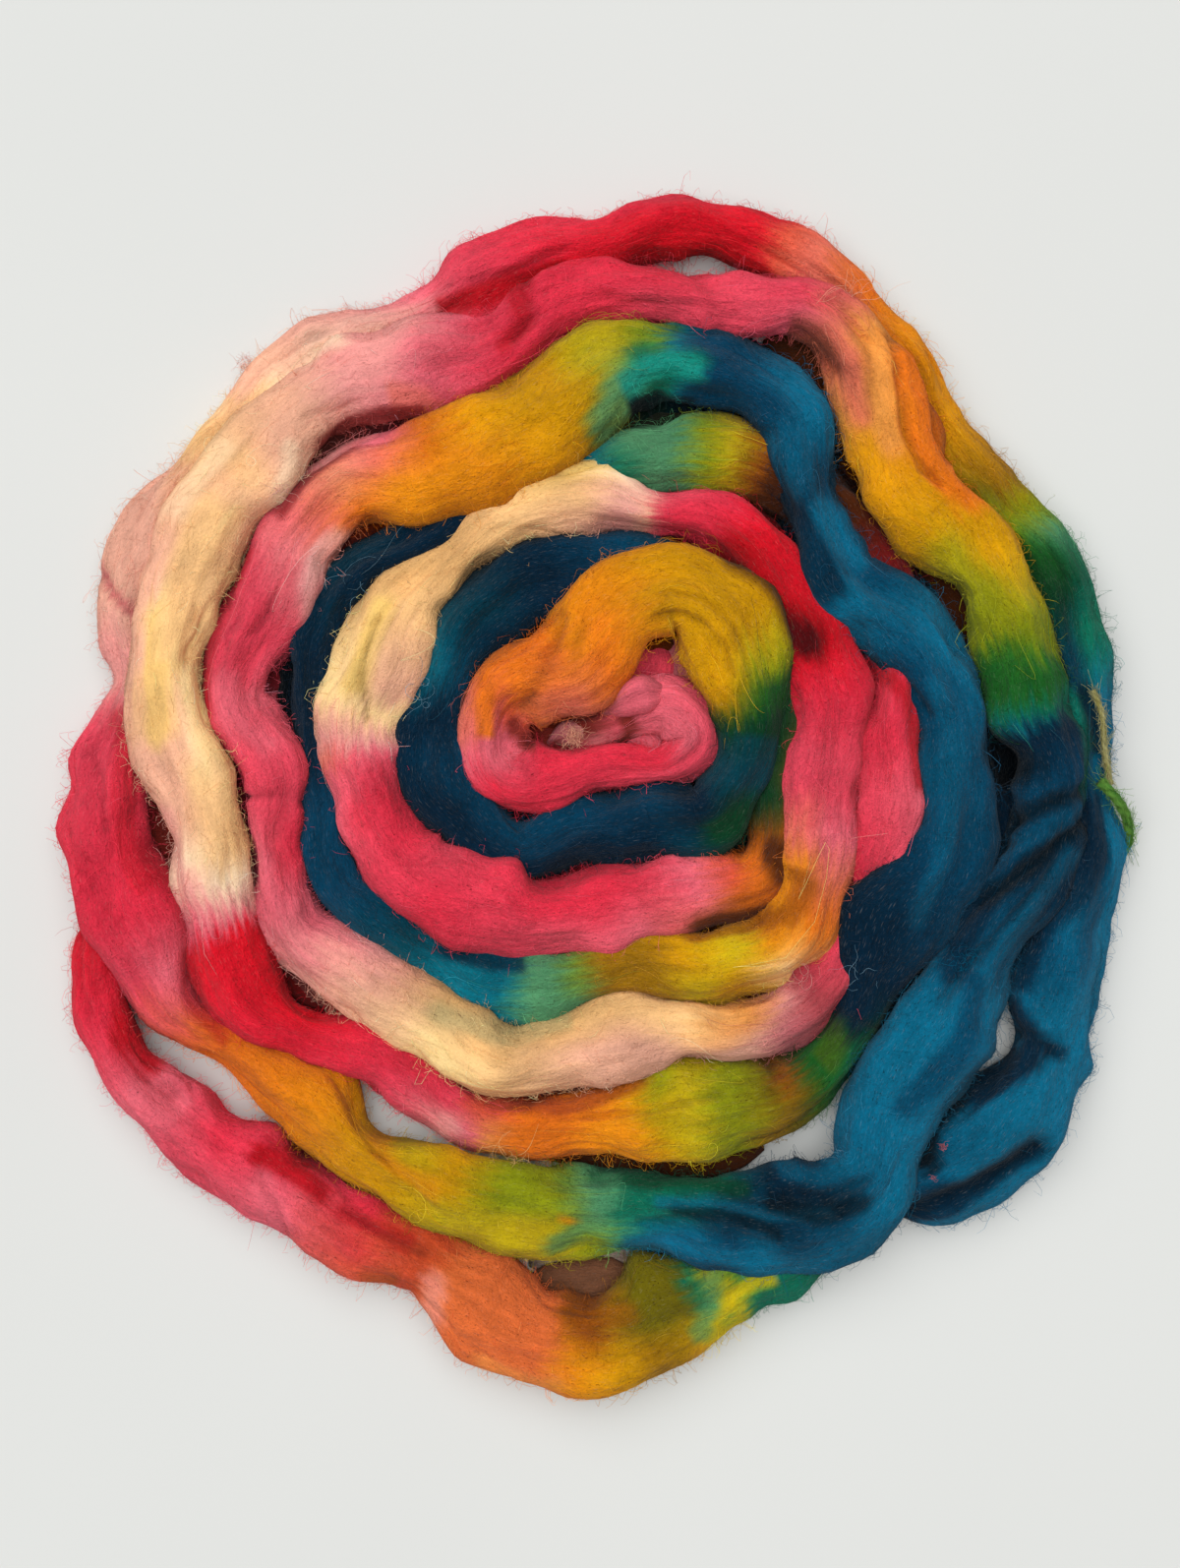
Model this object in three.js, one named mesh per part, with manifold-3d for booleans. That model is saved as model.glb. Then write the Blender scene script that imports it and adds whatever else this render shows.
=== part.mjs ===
// Wool roving: one long, soft, hand-dyed strand of combed wool laid down in a loose flat spiral,
// and the yarn that was used to tie it. Millimetres, +Z up, the strand lies on z = 0.

import * as THREE from "three";
import { mergeVertices } from "three/addons/utils/BufferGeometryUtils.js";
import Module from "manifold-3d";

// ---------------------------------------------------------------- driving dimensions

const RING_STEP = 15; // distance between two sections of the solid, along the strand
const LOCK_STEP = 6; // the same for the short loose lock
const SECTION_SIDES = 12; // corners of one section
const SQUARENESS = 0.88; // 1 is an ellipse, less is a fuller, softer rectangle
const THICK_BASE = 15; // thickness of a strand is THICK_BASE + THICK_PER_WIDTH * width,
const THICK_PER_WIDTH = 0.25; // and never more than its width
const SINK = 0.13; // share of the thickness that is pressed flat on the table
const INSIDE_OF_BEND = 0.8; // the inner side of a bend keeps this share of its radius
const LUMP = 0.045; // unevenness of the hand-laid strand, as a share of its width
const GROOVE = 0.13; // depth of the lengthwise hollow between its two fullest locks
const GROOVE_WIDTH = 0.3; // half width of that hollow, as a share of half the strand's width
const END_ROUNDING = 9; // length over which the two ends close
const RINGS_PER_PIECE = 11; // the strand is joined from pieces of this many sections
const BOX_MIDDLE = { x: -1.533, y: 1.6 }; // middle of the coil's box, moved to the origin

const TIE_LOOP_DIAMETER = 3.6; // the green yarn round the outer turn
const TIE_END_DIAMETER = 2; // its thin, half untwisted end
const TIE_SIDES = 8;
const TIE_STEP = 2; // distance between two sections of a tie, in diameters

// The strand's sections, from the inner end outwards: each row is the middle of a section
// (x, y), its width, and how far its underside is lifted by the turns below it.
const X = 0;
const Y = 1;
const WIDTH = 2;
const LIFT = 3;

const HEART = [
  [-15, 19, 12, 0], [5, 22, 16, 1], [24, 30, 22, 4], [34, 20, 22, 5],
  [24, 10, 19, 4], [2, 8.5, 18, 4], [-22, 2, 20, 4], [-36, 7, 20, 4],
  [-39, 21, 19, 4], [-32, 36, 25, 5], [-11, 45, 38, 7], [8, 61, 36, 8],
  [26, 71, 29, 9], [41, 63, 35, 9], [50, 49, 36, 8], [55, 30, 28, 6],
  [53, 11, 24, 5], [40, -9, 28, 3], [18, -10, 28, 2], [-8, -13, 22, 1],
  [-28, -21, 19, 0],
];

const TURN_2 = [
  [-48, -6, 28, 0], [-58, 14, 28, 0], [-56, 38, 23, 0], [-42, 64, 27, 0],
  [-18, 78, 28, 0], [12, 79, 25, 0], [38, 75, 22, 0], [58, 60, 22, 0],
  [66, 34, 20, 0], [63, 4, 20, 0], [63, -18, 21, 0], [55, -31, 23, 2],
  [34, -35, 24, 4], [8, -38, 32, 4], [-22, -44, 31, 4], [-46, -37, 36, 4],
  [-69, -27, 31, 3], [-81, -4, 27, 2], [-86, 18, 31, 2], [-79, 43, 34, 2],
  [-69, 68, 30, 2], [-52, 85, 18, 3],
];

const TURN_3 = [
  [-31, 99, 21, 5], [-4, 106, 27, 5], [20, 101, 21, 4], [42, 96, 22, 4],
  [60, 81, 25, 4], [74, 58, 27, 3], [82, 30, 30, 3], [79, 0, 32, 3],
  [78, -28, 27, 3], [66, -53, 30, 5], [42, -60, 27, 5], [14, -60, 23, 2],
  [-16, -65, 28, 1], [-40, -66, 29, 0], [-68, -49, 25, 0], [-90, -33, 24, 0],
  [-98, -6, 18, 0], [-102, 24, 16, 0], [-102, 50, 20, 0], [-90, 78, 20, 0],
  [-64, 92, 20, 0], [-30, 109, 22, 0],
];

const TURN_4 = [
  [0, 118, 24, 1], [28, 121, 27, 3], [52, 120, 26, 2], [78, 104, 26, 0],
  [98, 78, 26, 0], [105, 48, 21, 1], [104, 22, 20, 4], [104, -4, 22, 4],
  [98, -28, 20, 2], [91, -53, 22, 0], [76, -75, 26, 2], [50, -83, 21, 3],
  [24, -83, 27, 3], [-6, -88, 29, 4], [-34, -95, 26, 4], [-60, -81, 30, 4],
  [-88, -63, 27, 4], [-108, -46, 22, 3], [-115, -20, 20, 3], [-117, 8, 26, 3],
  [-129, 36, 21, 3],
];

const TURN_5 = [
  [-119, 62, 31, 3], [-109, 88, 30, 3], [-88, 108, 28, 5], [-60, 113, 36, 7],
  [-32, 127, 38, 7], [-4, 144, 38, 7], [20, 153, 28, 7], [46, 148, 27, 7],
  [67, 135, 25, 7], [74, 108, 24, 7], [85, 81, 26, 6], [107, 60, 30, 6],
  [122, 34, 26, 5], [127, 4, 27, 5], [123, -22, 30, 5], [109, -44, 38, 3],
  [97, -70, 28, 1], [84, -93, 22, 0], [60, -108, 30, 2], [32, -112, 35, 2],
  [2, -117, 26, 2], [-26, -120, 20, 0], [-54, -111, 22, 0], [-80, -92, 23, 1],
  [-104, -84, 19, 3],
];

const TURN_6 = [
  [-124, -69, 32, 5], [-135, -40, 29, 6], [-142, -8, 30, 6], [-151, 24, 30, 6],
  [-152, 52, 28, 6], [-143, 84, 33, 6], [-124, 115, 33, 6], [-96, 144, 29, 6],
  [-62, 153, 38, 6], [-34, 160, 27, 5], [-8, 175, 24, 4], [22, 178, 21, 4],
  [48, 172, 25, 4], [72, 172, 19, 8], [90, 158, 25, 8], [102, 133, 37, 7],
  [113, 109, 37, 7], [134, 83, 33, 6], [147, 55, 30, 6], [154, 28, 34, 6],
  [162, 2, 28, 6], [153, -26, 33, 6], [135, -56, 27, 5], [120, -85, 37, 6],
  [106, -112, 33, 7], [97, -137, 28, 8], [76, -151, 35, 6],
];

const TURN_7 = [
  [46, -152, 31, 3], [16, -148, 27, 3], [-16, -149, 33, 3], [-48, -143, 29, 3],
  [-76, -130, 31, 3], [-98, -111, 31, 2], [-128, -92, 18, 2], [-150, -77, 23, 3],
  [-161, -52, 31, 4], [-172, -20, 38, 4], [-174, 8, 27, 3], [-165, 38, 21, 0],
  [-167, 70, 24, 0], [-158, 98, 27, 0], [-147, 114, 17, 0], [-136, 127, 20, 0],
  [-110, 152, 21, 0], [-80, 164, 19, 0], [-62, 172, 19, 0], [-46, 181, 26, 2],
  [-20, 191, 26, 2], [6, 196, 19, 2], [31, 204, 23, 2], [60, 194, 24, 2],
];

const TURN_8 = [
  [87, 180, 18, 0], [109, 158, 17, 0], [121, 134, 16, 0], [141, 107, 19, 0],
  [163, 84, 22, 0], [171, 54, 23, 0], [174, 29, 20, 0], [175, 4, 14, 2],
  [178, -22, 21, 0], [169, -50, 28, 0], [161, -80, 30, 0], [150, -110, 38, 0],
  [127, -132, 35, 0], [98, -145, 18, 0], [72, -163, 24, 0], [53, -171, 24, 0],
  [36, -181, 32, 0], [12, -192, 37, 0], [-18, -193, 38, 1], [-45, -180, 41, 0],
  [-62, -167, 27, 0], [-86, -157, 31, 0], [-112, -141, 31, 0], [-138, -124, 30, 0],
  [-162, -103, 24, 0], [-177, -78, 20, 0], [-176, -53, 18, 0], [-169, -42, 13, 0],
];

// A short lock that has come loose from the inner end and lies folded over it.
const LOOSE_LOCK = [
  [25, 37, 12, 10], [15, 36, 14, 12], [7, 32.5, 10, 10], [1, 29, 6, 7],
];

// The tie's two routes (x, y, z): over the pinched outer turn and back in under it, and the loose
// end that lies on top of that turn.
const TIE_LOOP_ROUTE = [
  [177.2, 4.6, 17.2], [180, 2.2, 16.6], [183, -0.8, 15.8], [186, -4.2, 13.6],
  [188.8, -8.2, 10.2], [190.6, -12.4, 6.6], [191.4, -16.2, 3.6], [190.9, -19.4, 2.2],
  [189.3, -21.6, 2.1],
];

const TIE_END_ROUTE = [
  [182, 3.6, 14.3], [180.9, 8, 14.6], [179.8, 14, 14.9], [179, 20, 15.9],
  [178.2, 26, 17.2], [177, 30.5, 18], [175.4, 34.2, 18.6], [174.2, 36.8, 18.8],
];

const STRAND = [HEART, TURN_2, TURN_3, TURN_4, TURN_5, TURN_6, TURN_7, TURN_8].flat();

// ---------------------------------------------------------------- the strand's route

// Distance along the rows, by straight chords.
function chordLengths(rows) {
  const lengths = [0];
  for (let i = 1; i < rows.length; i += 1) {
    const chord = Math.hypot(rows[i][X] - rows[i - 1][X], rows[i][Y] - rows[i - 1][Y]);
    lengths.push(lengths[i - 1] + chord);
  }
  return lengths;
}

// Slope of every column at row i: the chord between its two neighbours.
function slope(rows, lengths, i, column) {
  const before = Math.max(i - 1, 0);
  const after = Math.min(i + 1, rows.length - 1);
  return (rows[after][column] - rows[before][column]) / (lengths[after] - lengths[before]);
}

// A cubic through the rows, with those slopes, at the distance s.
function sectionAt(rows, lengths, s) {
  let i = 0;
  while (i < rows.length - 2 && lengths[i + 1] < s) {
    i += 1;
  }
  const span = lengths[i + 1] - lengths[i];
  const t = (s - lengths[i]) / span;
  const startWeight = (1 + 2 * t) * (1 - t) * (1 - t);
  const startSlope = t * (1 - t) * (1 - t) * span;
  const endWeight = t * t * (3 - 2 * t);
  const endSlope = t * t * (t - 1) * span;
  return [X, Y, WIDTH, LIFT].map(
    (column) =>
      startWeight * rows[i][column] +
      startSlope * slope(rows, lengths, i, column) +
      endWeight * rows[i + 1][column] +
      endSlope * slope(rows, lengths, i + 1, column)
  );
}

// Sections at an even step, each with its place, its outward side and the bend there.
// The route turns clockwise, so its outer side is on the left of its direction.
function sectionsAlong(rows, step) {
  const lengths = chordLengths(rows);
  const whole = lengths[lengths.length - 1];
  const count = Math.round(whole / step);
  const sections = [];
  for (let k = 0; k <= count; k += 1) {
    const s = (whole * k) / count;
    const here = sectionAt(rows, lengths, s);
    const before = sectionAt(rows, lengths, Math.max(s - step / 2, 0));
    const after = sectionAt(rows, lengths, Math.min(s + step / 2, whole));
    const heading = Math.atan2(after[Y] - before[Y], after[X] - before[X]);
    sections.push({ s, x: here[X], y: here[Y], width: here[WIDTH], lift: here[LIFT], heading });
  }
  sections.forEach((section, k) => {
    const before = sections[Math.max(k - 1, 0)];
    const after = sections[Math.min(k + 1, count)];
    const turn = wrapAngle(after.heading - before.heading);
    section.bend = turn / Math.max(after.s - before.s, 1);
    section.toEnd = Math.min(section.s, whole - section.s);
  });
  return sections;
}

function wrapAngle(angle) {
  return Math.atan2(Math.sin(angle), Math.cos(angle));
}

// ---------------------------------------------------------------- one section of the strand

// Slow waves that make the hand-laid strand fuller here and thinner there.
function lumpAt(s, corner) {
  return Math.sin(s / 17 + 2.1 * corner) + Math.sin(s / 29 + 1.3 * corner + 1) * 0.8;
}

// Where the lengthwise hollow runs, from -1 at the inner edge to 1 at the outer edge.
function grooveAt(s) {
  return 0.45 * Math.sin(s / 120) + 0.2 * Math.sin(s / 47 + 2);
}

// How thick a section is: wide ones are pressed out, a pinched one is round.
function thicknessOf(width) {
  return Math.min(THICK_BASE + THICK_PER_WIDTH * width, width);
}

// Half width on the outer side (side > 0) or the inner side, drawn in on the inside of a bend.
function halfWidth(section, side) {
  const half = section.width / 2;
  const towardsBend = section.bend * side > 0;
  const radius = 1 / Math.max(Math.abs(section.bend), 1e-6);
  return towardsBend ? Math.min(half, INSIDE_OF_BEND * radius) : half;
}

// The corners of a section: a soft rectangle with lumps and a hollow, flat where it meets z = 0.
function sectionCorners(section) {
  const thick = thicknessOf(section.width);
  const rounding = Math.sqrt(Math.min(1, (section.toEnd + 1) / END_ROUNDING));
  const middle = section.lift + thick * (0.5 - SINK);
  const across = section.heading + Math.PI / 2;
  const corners = [];
  for (let j = 0; j < SECTION_SIDES; j += 1) {
    const angle = (2 * Math.PI * (j + 0.5)) / SECTION_SIDES;
    const lump = 1 + LUMP * lumpAt(section.s, j);
    const side = Math.sign(Math.cos(angle)) * Math.abs(Math.cos(angle)) ** SQUARENESS;
    const up = Math.sign(Math.sin(angle)) * Math.abs(Math.sin(angle)) ** SQUARENESS;
    const fromGroove = (side - grooveAt(section.s)) / GROOVE_WIDTH;
    const groove = up > 0 ? 1 - GROOVE * Math.exp(-fromGroove * fromGroove) : 1;
    const reach = halfWidth(section, side) * side * lump * rounding;
    corners.push([
      section.x + Math.cos(across) * reach - BOX_MIDDLE.x,
      section.y + Math.sin(across) * reach - BOX_MIDDLE.y,
      Math.max(middle + (thick / 2) * up * lump * groove * rounding, 0),
    ]);
  }
  return corners;
}

// ---------------------------------------------------------------- solids

// A closed skin over a run of sections, with a fan at each end.
function skinOver(sections) {
  const rings = sections.map(sectionCorners);
  const points = rings.flat();
  const triangles = [];
  for (let k = 0; k < rings.length - 1; k += 1) {
    for (let j = 0; j < SECTION_SIDES; j += 1) {
      const next = (j + 1) % SECTION_SIDES;
      const a = k * SECTION_SIDES + j;
      const b = k * SECTION_SIDES + next;
      const c = a + SECTION_SIDES;
      const d = b + SECTION_SIDES;
      triangles.push([a, b, d], [a, d, c]);
    }
  }
  const lastRing = (rings.length - 1) * SECTION_SIDES;
  for (let j = 1; j < SECTION_SIDES - 1; j += 1) {
    triangles.push([0, j + 1, j], [lastRing, lastRing + j, lastRing + j + 1]);
  }
  const geometry = new THREE.BufferGeometry();
  geometry.setAttribute("position", new THREE.Float32BufferAttribute(points.flat(), 3));
  geometry.setIndex(triangles.flat());
  return geometry;
}

function toManifold(wasm, geometry) {
  const merged = mergeVertices(geometry, 1e-4);
  const mesh = new wasm.Mesh({
    numProp: 3,
    vertProperties: new Float32Array(merged.getAttribute("position").array),
    triVerts: new Uint32Array(merged.index.array),
  });
  return new wasm.Manifold(mesh);
}

function toGeometry(manifold) {
  const mesh = manifold.getMesh();
  const geometry = new THREE.BufferGeometry();
  geometry.setAttribute("position", new THREE.Float32BufferAttribute(mesh.vertProperties, 3));
  geometry.setIndex(Array.from(mesh.triVerts));
  return geometry;
}

// The whole strand as one solid: its pieces share their end sections and are joined in order,
// turns that press on each other grow together, and the sealed pockets between them are filled.
function strandSolid(wasm) {
  const sections = sectionsAlong(STRAND, RING_STEP);
  let strand = toManifold(wasm, skinOver(sectionsAlong(LOOSE_LOCK, LOCK_STEP)));
  for (let k = 0; k < sections.length - 1; k += RINGS_PER_PIECE - 1) {
    const piece = toManifold(wasm, skinOver(sections.slice(k, k + RINGS_PER_PIECE)));
    strand = strand.add(piece);
  }
  const bodies = strand.decompose();
  bodies.sort((one, other) => other.volume() - one.volume());
  return toGeometry(bodies[0]);
}

// A yarn: a round section along its route.
function yarnGeometry(route, diameter) {
  const points = route.map(
    ([x, y, z]) => new THREE.Vector3(x - BOX_MIDDLE.x, y - BOX_MIDDLE.y, z)
  );
  const path = new THREE.CatmullRomCurve3(points, false, "centripetal");
  const section = new THREE.Shape();
  section.absarc(0, 0, diameter / 2, 0, 2 * Math.PI);
  return new THREE.ExtrudeGeometry(section, {
    extrudePath: path,
    steps: Math.ceil(path.getLength() / (TIE_STEP * diameter)),
    curveSegments: TIE_SIDES / 2,
    bevelEnabled: false,
  });
}

// ---------------------------------------------------------------- the object

const wasm = await Module();
wasm.setup();

const group = new THREE.Group();

const woolMaterial = new THREE.MeshStandardMaterial({ color: 0xc8485c, roughness: 0.95, metalness: 0 });
const roving = new THREE.Mesh(strandSolid(wasm), woolMaterial);
roving.name = "roving";
group.add(roving);

const greenYarn = new THREE.MeshStandardMaterial({ color: 0x6f9a45, roughness: 0.9, metalness: 0 });
const tieLoop = new THREE.Mesh(yarnGeometry(TIE_LOOP_ROUTE, TIE_LOOP_DIAMETER), greenYarn);
tieLoop.name = "tie_loop";
group.add(tieLoop);

const oliveYarn = new THREE.MeshStandardMaterial({ color: 0xa89a5a, roughness: 0.9, metalness: 0 });
const tieEnd = new THREE.Mesh(yarnGeometry(TIE_END_ROUTE, TIE_END_DIAMETER), oliveYarn);
tieEnd.name = "tie_end";
group.add(tieEnd);

export default group;
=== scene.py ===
"""Dyed wool roving: the looks of one long combed strand laid in a loose flat spiral, and its tie."""

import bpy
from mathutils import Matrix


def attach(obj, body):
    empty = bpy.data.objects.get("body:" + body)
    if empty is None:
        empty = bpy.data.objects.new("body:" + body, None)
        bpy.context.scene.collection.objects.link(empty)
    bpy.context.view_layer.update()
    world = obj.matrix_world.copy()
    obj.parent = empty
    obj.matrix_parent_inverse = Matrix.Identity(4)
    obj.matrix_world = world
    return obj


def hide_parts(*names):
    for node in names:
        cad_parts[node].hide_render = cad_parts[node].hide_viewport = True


bl_info = {
    "name": "Dyed wool roving",
    "version": (1, 0, 0),
    "blender": (4, 5, 0),
    "location": "3D View > Sidebar > Roving",
    "description": "Builds a hand-dyed wool strand with its loose fibres and its tie yarn",
    "category": "Add Mesh",
}

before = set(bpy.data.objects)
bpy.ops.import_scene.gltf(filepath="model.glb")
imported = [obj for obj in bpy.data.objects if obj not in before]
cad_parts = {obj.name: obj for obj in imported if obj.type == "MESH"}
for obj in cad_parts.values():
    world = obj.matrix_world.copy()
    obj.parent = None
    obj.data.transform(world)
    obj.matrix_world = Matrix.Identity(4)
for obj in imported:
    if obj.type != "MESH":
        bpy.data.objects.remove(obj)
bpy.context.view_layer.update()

from types import SimpleNamespace

import bpy
import numpy as np
from bpy.props import FloatProperty, FloatVectorProperty, IntProperty, PointerProperty
from mathutils import Vector

MM = 0.001
BODY = "root"

# ---------------------------------------------------------------- sizes of the strand, as in the part

RING_STEP = 15.0  # distance over which the heading and the bend are read, millimetres
SECTION_SIDES = 12  # lumps round one section
SQUARENESS = 1.04  # of a section: 1 is an ellipse
THICK_BASE = 15.0  # thickness of the narrowest strand, to which a share of its width is added
THICK_PER_WIDTH = 0.25
SINK = 0.13  # share of its thickness that the strand has sunk into what it lies on
INSIDE_OF_BEND = 0.8  # share of the bend's radius that the wool may take up on its inside
LUMP = 0.045  # height of a lump, as a share of the section
GROOVE = 0.13  # depth of the hollow on top, as a share of half the thickness
GROOVE_WIDTH = 0.3  # as a share of half the width
END_ROUNDING = 9.0  # length over which both ends taper
BOX_MIDDLE = (-1.533, 1.6)  # of the rows below, which is the origin of the part's frame

X, Y, WIDTH, LIFT = range(4)

# Rows of (x, y, width, lift) along the strand's middle line, in millimetres, from its inner end.
HEART = [
    (-15, 19, 12, 0), (5, 22, 16, 1), (24, 30, 22, 4), (34, 20, 22, 5),
    (24, 10, 19, 4), (2, 8.5, 18, 4), (-22, 2, 20, 4), (-36, 7, 20, 4),
    (-39, 21, 19, 4), (-32, 36, 25, 5), (-11, 45, 38, 7), (8, 61, 36, 8),
    (26, 71, 29, 9), (41, 63, 35, 9), (50, 49, 36, 8), (55, 30, 28, 6),
    (53, 11, 24, 5), (40, -9, 28, 3), (18, -10, 28, 2), (-8, -13, 22, 1),
    (-28, -21, 19, 0),
]

TURN_2 = [
    (-48, -6, 28, 0), (-58, 14, 28, 0), (-56, 38, 23, 0), (-42, 64, 27, 0),
    (-18, 78, 28, 0), (12, 79, 25, 0), (38, 75, 22, 0), (58, 60, 22, 0),
    (66, 34, 20, 0), (63, 4, 20, 0), (63, -18, 21, 0), (55, -31, 23, 2),
    (34, -35, 24, 4), (8, -38, 32, 4), (-22, -44, 31, 4), (-46, -37, 36, 4),
    (-69, -27, 31, 3), (-81, -4, 27, 2), (-86, 18, 31, 2), (-79, 43, 34, 2),
    (-69, 68, 30, 2), (-52, 85, 18, 3),
]

TURN_3 = [
    (-31, 99, 21, 5), (-4, 106, 27, 5), (20, 101, 21, 4), (42, 96, 22, 4),
    (60, 81, 25, 4), (74, 58, 27, 3), (82, 30, 30, 3), (79, 0, 32, 3),
    (78, -28, 27, 3), (66, -53, 30, 5), (42, -60, 27, 5), (14, -60, 23, 2),
    (-16, -65, 28, 1), (-40, -66, 29, 0), (-68, -49, 25, 0), (-90, -33, 24, 0),
    (-98, -6, 18, 0), (-102, 24, 16, 0), (-102, 50, 20, 0), (-90, 78, 20, 0),
    (-64, 92, 20, 0), (-30, 109, 22, 0),
]

TURN_4 = [
    (0, 118, 24, 1), (28, 121, 27, 3), (52, 120, 26, 2), (78, 104, 26, 0),
    (98, 78, 26, 0), (105, 48, 21, 1), (104, 22, 20, 4), (104, -4, 22, 4),
    (98, -28, 20, 2), (91, -53, 22, 0), (76, -75, 26, 2), (50, -83, 21, 3),
    (24, -83, 27, 3), (-6, -88, 29, 4), (-34, -95, 26, 4), (-60, -81, 30, 4),
    (-88, -63, 27, 4), (-108, -46, 22, 3), (-115, -20, 20, 3), (-117, 8, 26, 3),
    (-129, 36, 21, 3),
]

TURN_5 = [
    (-119, 62, 31, 3), (-109, 88, 30, 3), (-88, 108, 28, 5), (-60, 113, 36, 7),
    (-32, 127, 38, 7), (-4, 144, 38, 7), (20, 153, 28, 7), (46, 148, 27, 7),
    (67, 135, 25, 7), (74, 108, 24, 7), (85, 81, 26, 6), (107, 60, 30, 6),
    (122, 34, 26, 5), (127, 4, 27, 5), (123, -22, 30, 5), (109, -44, 38, 3),
    (97, -70, 28, 1), (84, -93, 22, 0), (60, -108, 30, 2), (32, -112, 35, 2),
    (2, -117, 26, 2), (-26, -120, 20, 0), (-54, -111, 22, 0), (-80, -92, 23, 1),
    (-104, -84, 19, 3),
]

TURN_6 = [
    (-124, -69, 32, 5), (-135, -40, 29, 6), (-142, -8, 30, 6), (-151, 24, 30, 6),
    (-152, 52, 28, 6), (-143, 84, 33, 6), (-124, 115, 33, 6), (-96, 144, 29, 6),
    (-62, 153, 38, 6), (-34, 160, 27, 5), (-8, 175, 24, 4), (22, 178, 21, 4),
    (48, 172, 25, 4), (72, 172, 19, 8), (90, 158, 25, 8), (102, 133, 37, 7),
    (113, 109, 37, 7), (134, 83, 33, 6), (147, 55, 30, 6), (154, 28, 34, 6),
    (162, 2, 28, 6), (153, -26, 33, 6), (135, -56, 27, 5), (120, -85, 37, 6),
    (106, -112, 33, 7), (97, -137, 28, 8), (76, -151, 35, 6),
]

TURN_7 = [
    (46, -152, 31, 3), (16, -148, 27, 3), (-16, -149, 33, 3), (-48, -143, 29, 3),
    (-76, -130, 31, 3), (-98, -111, 31, 2), (-128, -92, 18, 2), (-150, -77, 23, 3),
    (-161, -52, 31, 4), (-172, -20, 38, 4), (-174, 8, 27, 3), (-165, 38, 21, 0),
    (-167, 70, 24, 0), (-158, 98, 27, 0), (-147, 114, 17, 0), (-136, 127, 20, 0),
    (-110, 152, 21, 0), (-80, 164, 19, 0), (-62, 172, 19, 0), (-46, 181, 26, 2),
    (-20, 191, 26, 2), (6, 196, 19, 2), (31, 204, 23, 2), (60, 194, 24, 2),
]

TURN_8 = [
    (87, 180, 18, 0), (109, 158, 17, 0), (121, 134, 16, 0), (141, 107, 19, 0),
    (163, 84, 22, 0), (171, 54, 23, 0), (174, 29, 20, 0), (175, 4, 14, 2),
    (178, -22, 21, 0), (169, -50, 28, 0), (161, -80, 30, 0), (150, -110, 38, 0),
    (127, -132, 35, 0), (98, -145, 18, 0), (72, -163, 24, 0), (53, -171, 24, 0),
    (36, -181, 32, 0), (12, -192, 37, 0), (-18, -193, 38, 1), (-45, -180, 41, 0),
    (-62, -167, 27, 0), (-86, -157, 31, 0), (-112, -141, 31, 0), (-138, -124, 30, 0),
    (-162, -103, 24, 0), (-177, -78, 20, 0), (-176, -53, 18, 0), (-169, -42, 13, 0),
]

STRAND_ROWS = HEART + TURN_2 + TURN_3 + TURN_4 + TURN_5 + TURN_6 + TURN_7 + TURN_8

LOOSE_LOCK_ROWS = [(25, 37, 12, 10), (15, 36, 14, 12), (7, 32.5, 10, 10), (1, 29, 6, 7)]

# The routes of the tie yarns, (x, y, z) in millimetres.
TIE_LOOP_ROUTE = [
    (177.2, 4.6, 17.2), (180, 2.2, 16.6), (183, -0.8, 15.8), (186, -4.2, 13.6),
    (188.8, -8.2, 10.2), (190.6, -12.4, 6.6), (191.4, -16.2, 3.6), (190.9, -19.4, 2.2),
    (189.3, -21.6, 2.1),
]

TIE_END_ROUTE = [
    (182, 3.6, 14.3), (180.9, 8, 14.6), (179.8, 14, 14.9), (179, 20, 15.9),
    (178.2, 26, 17.2), (177, 30.5, 18), (175.4, 34.2, 18.6), (174.2, 36.8, 18.8),
]


YARN_STEP = 0.3  # between two rings of a yarn
YARN_SIDES = 24
YARN_LOWEST = 0.05  # height over the ground
PLIES = 2

# By the name of the part's solid. The pitch is the length of one turn of the plies, the dyes are those of the
# plies, and the fuzz is the number of its fibres, their usual length and how far they rise.
TIES = {
    "tie_loop": {
        "route": TIE_LOOP_ROUTE, "diameter": 3.6, "pitch": 9.0, "dyes": ("leaf", "green"),
        "slot": "green_yarn", "far_end": "object", "fuzz": (420, 4.0, 1.3),
    },
    "tie_end": {
        "route": TIE_END_ROUTE, "diameter": 2.0, "pitch": 6.0, "dyes": ("straw", "olive"),
        "slot": "olive_yarn", "far_end": "bare", "fuzz": (300, 3.5, 1.0),
    },
}

# ---------------------------------------------------------------- dyes

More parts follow.
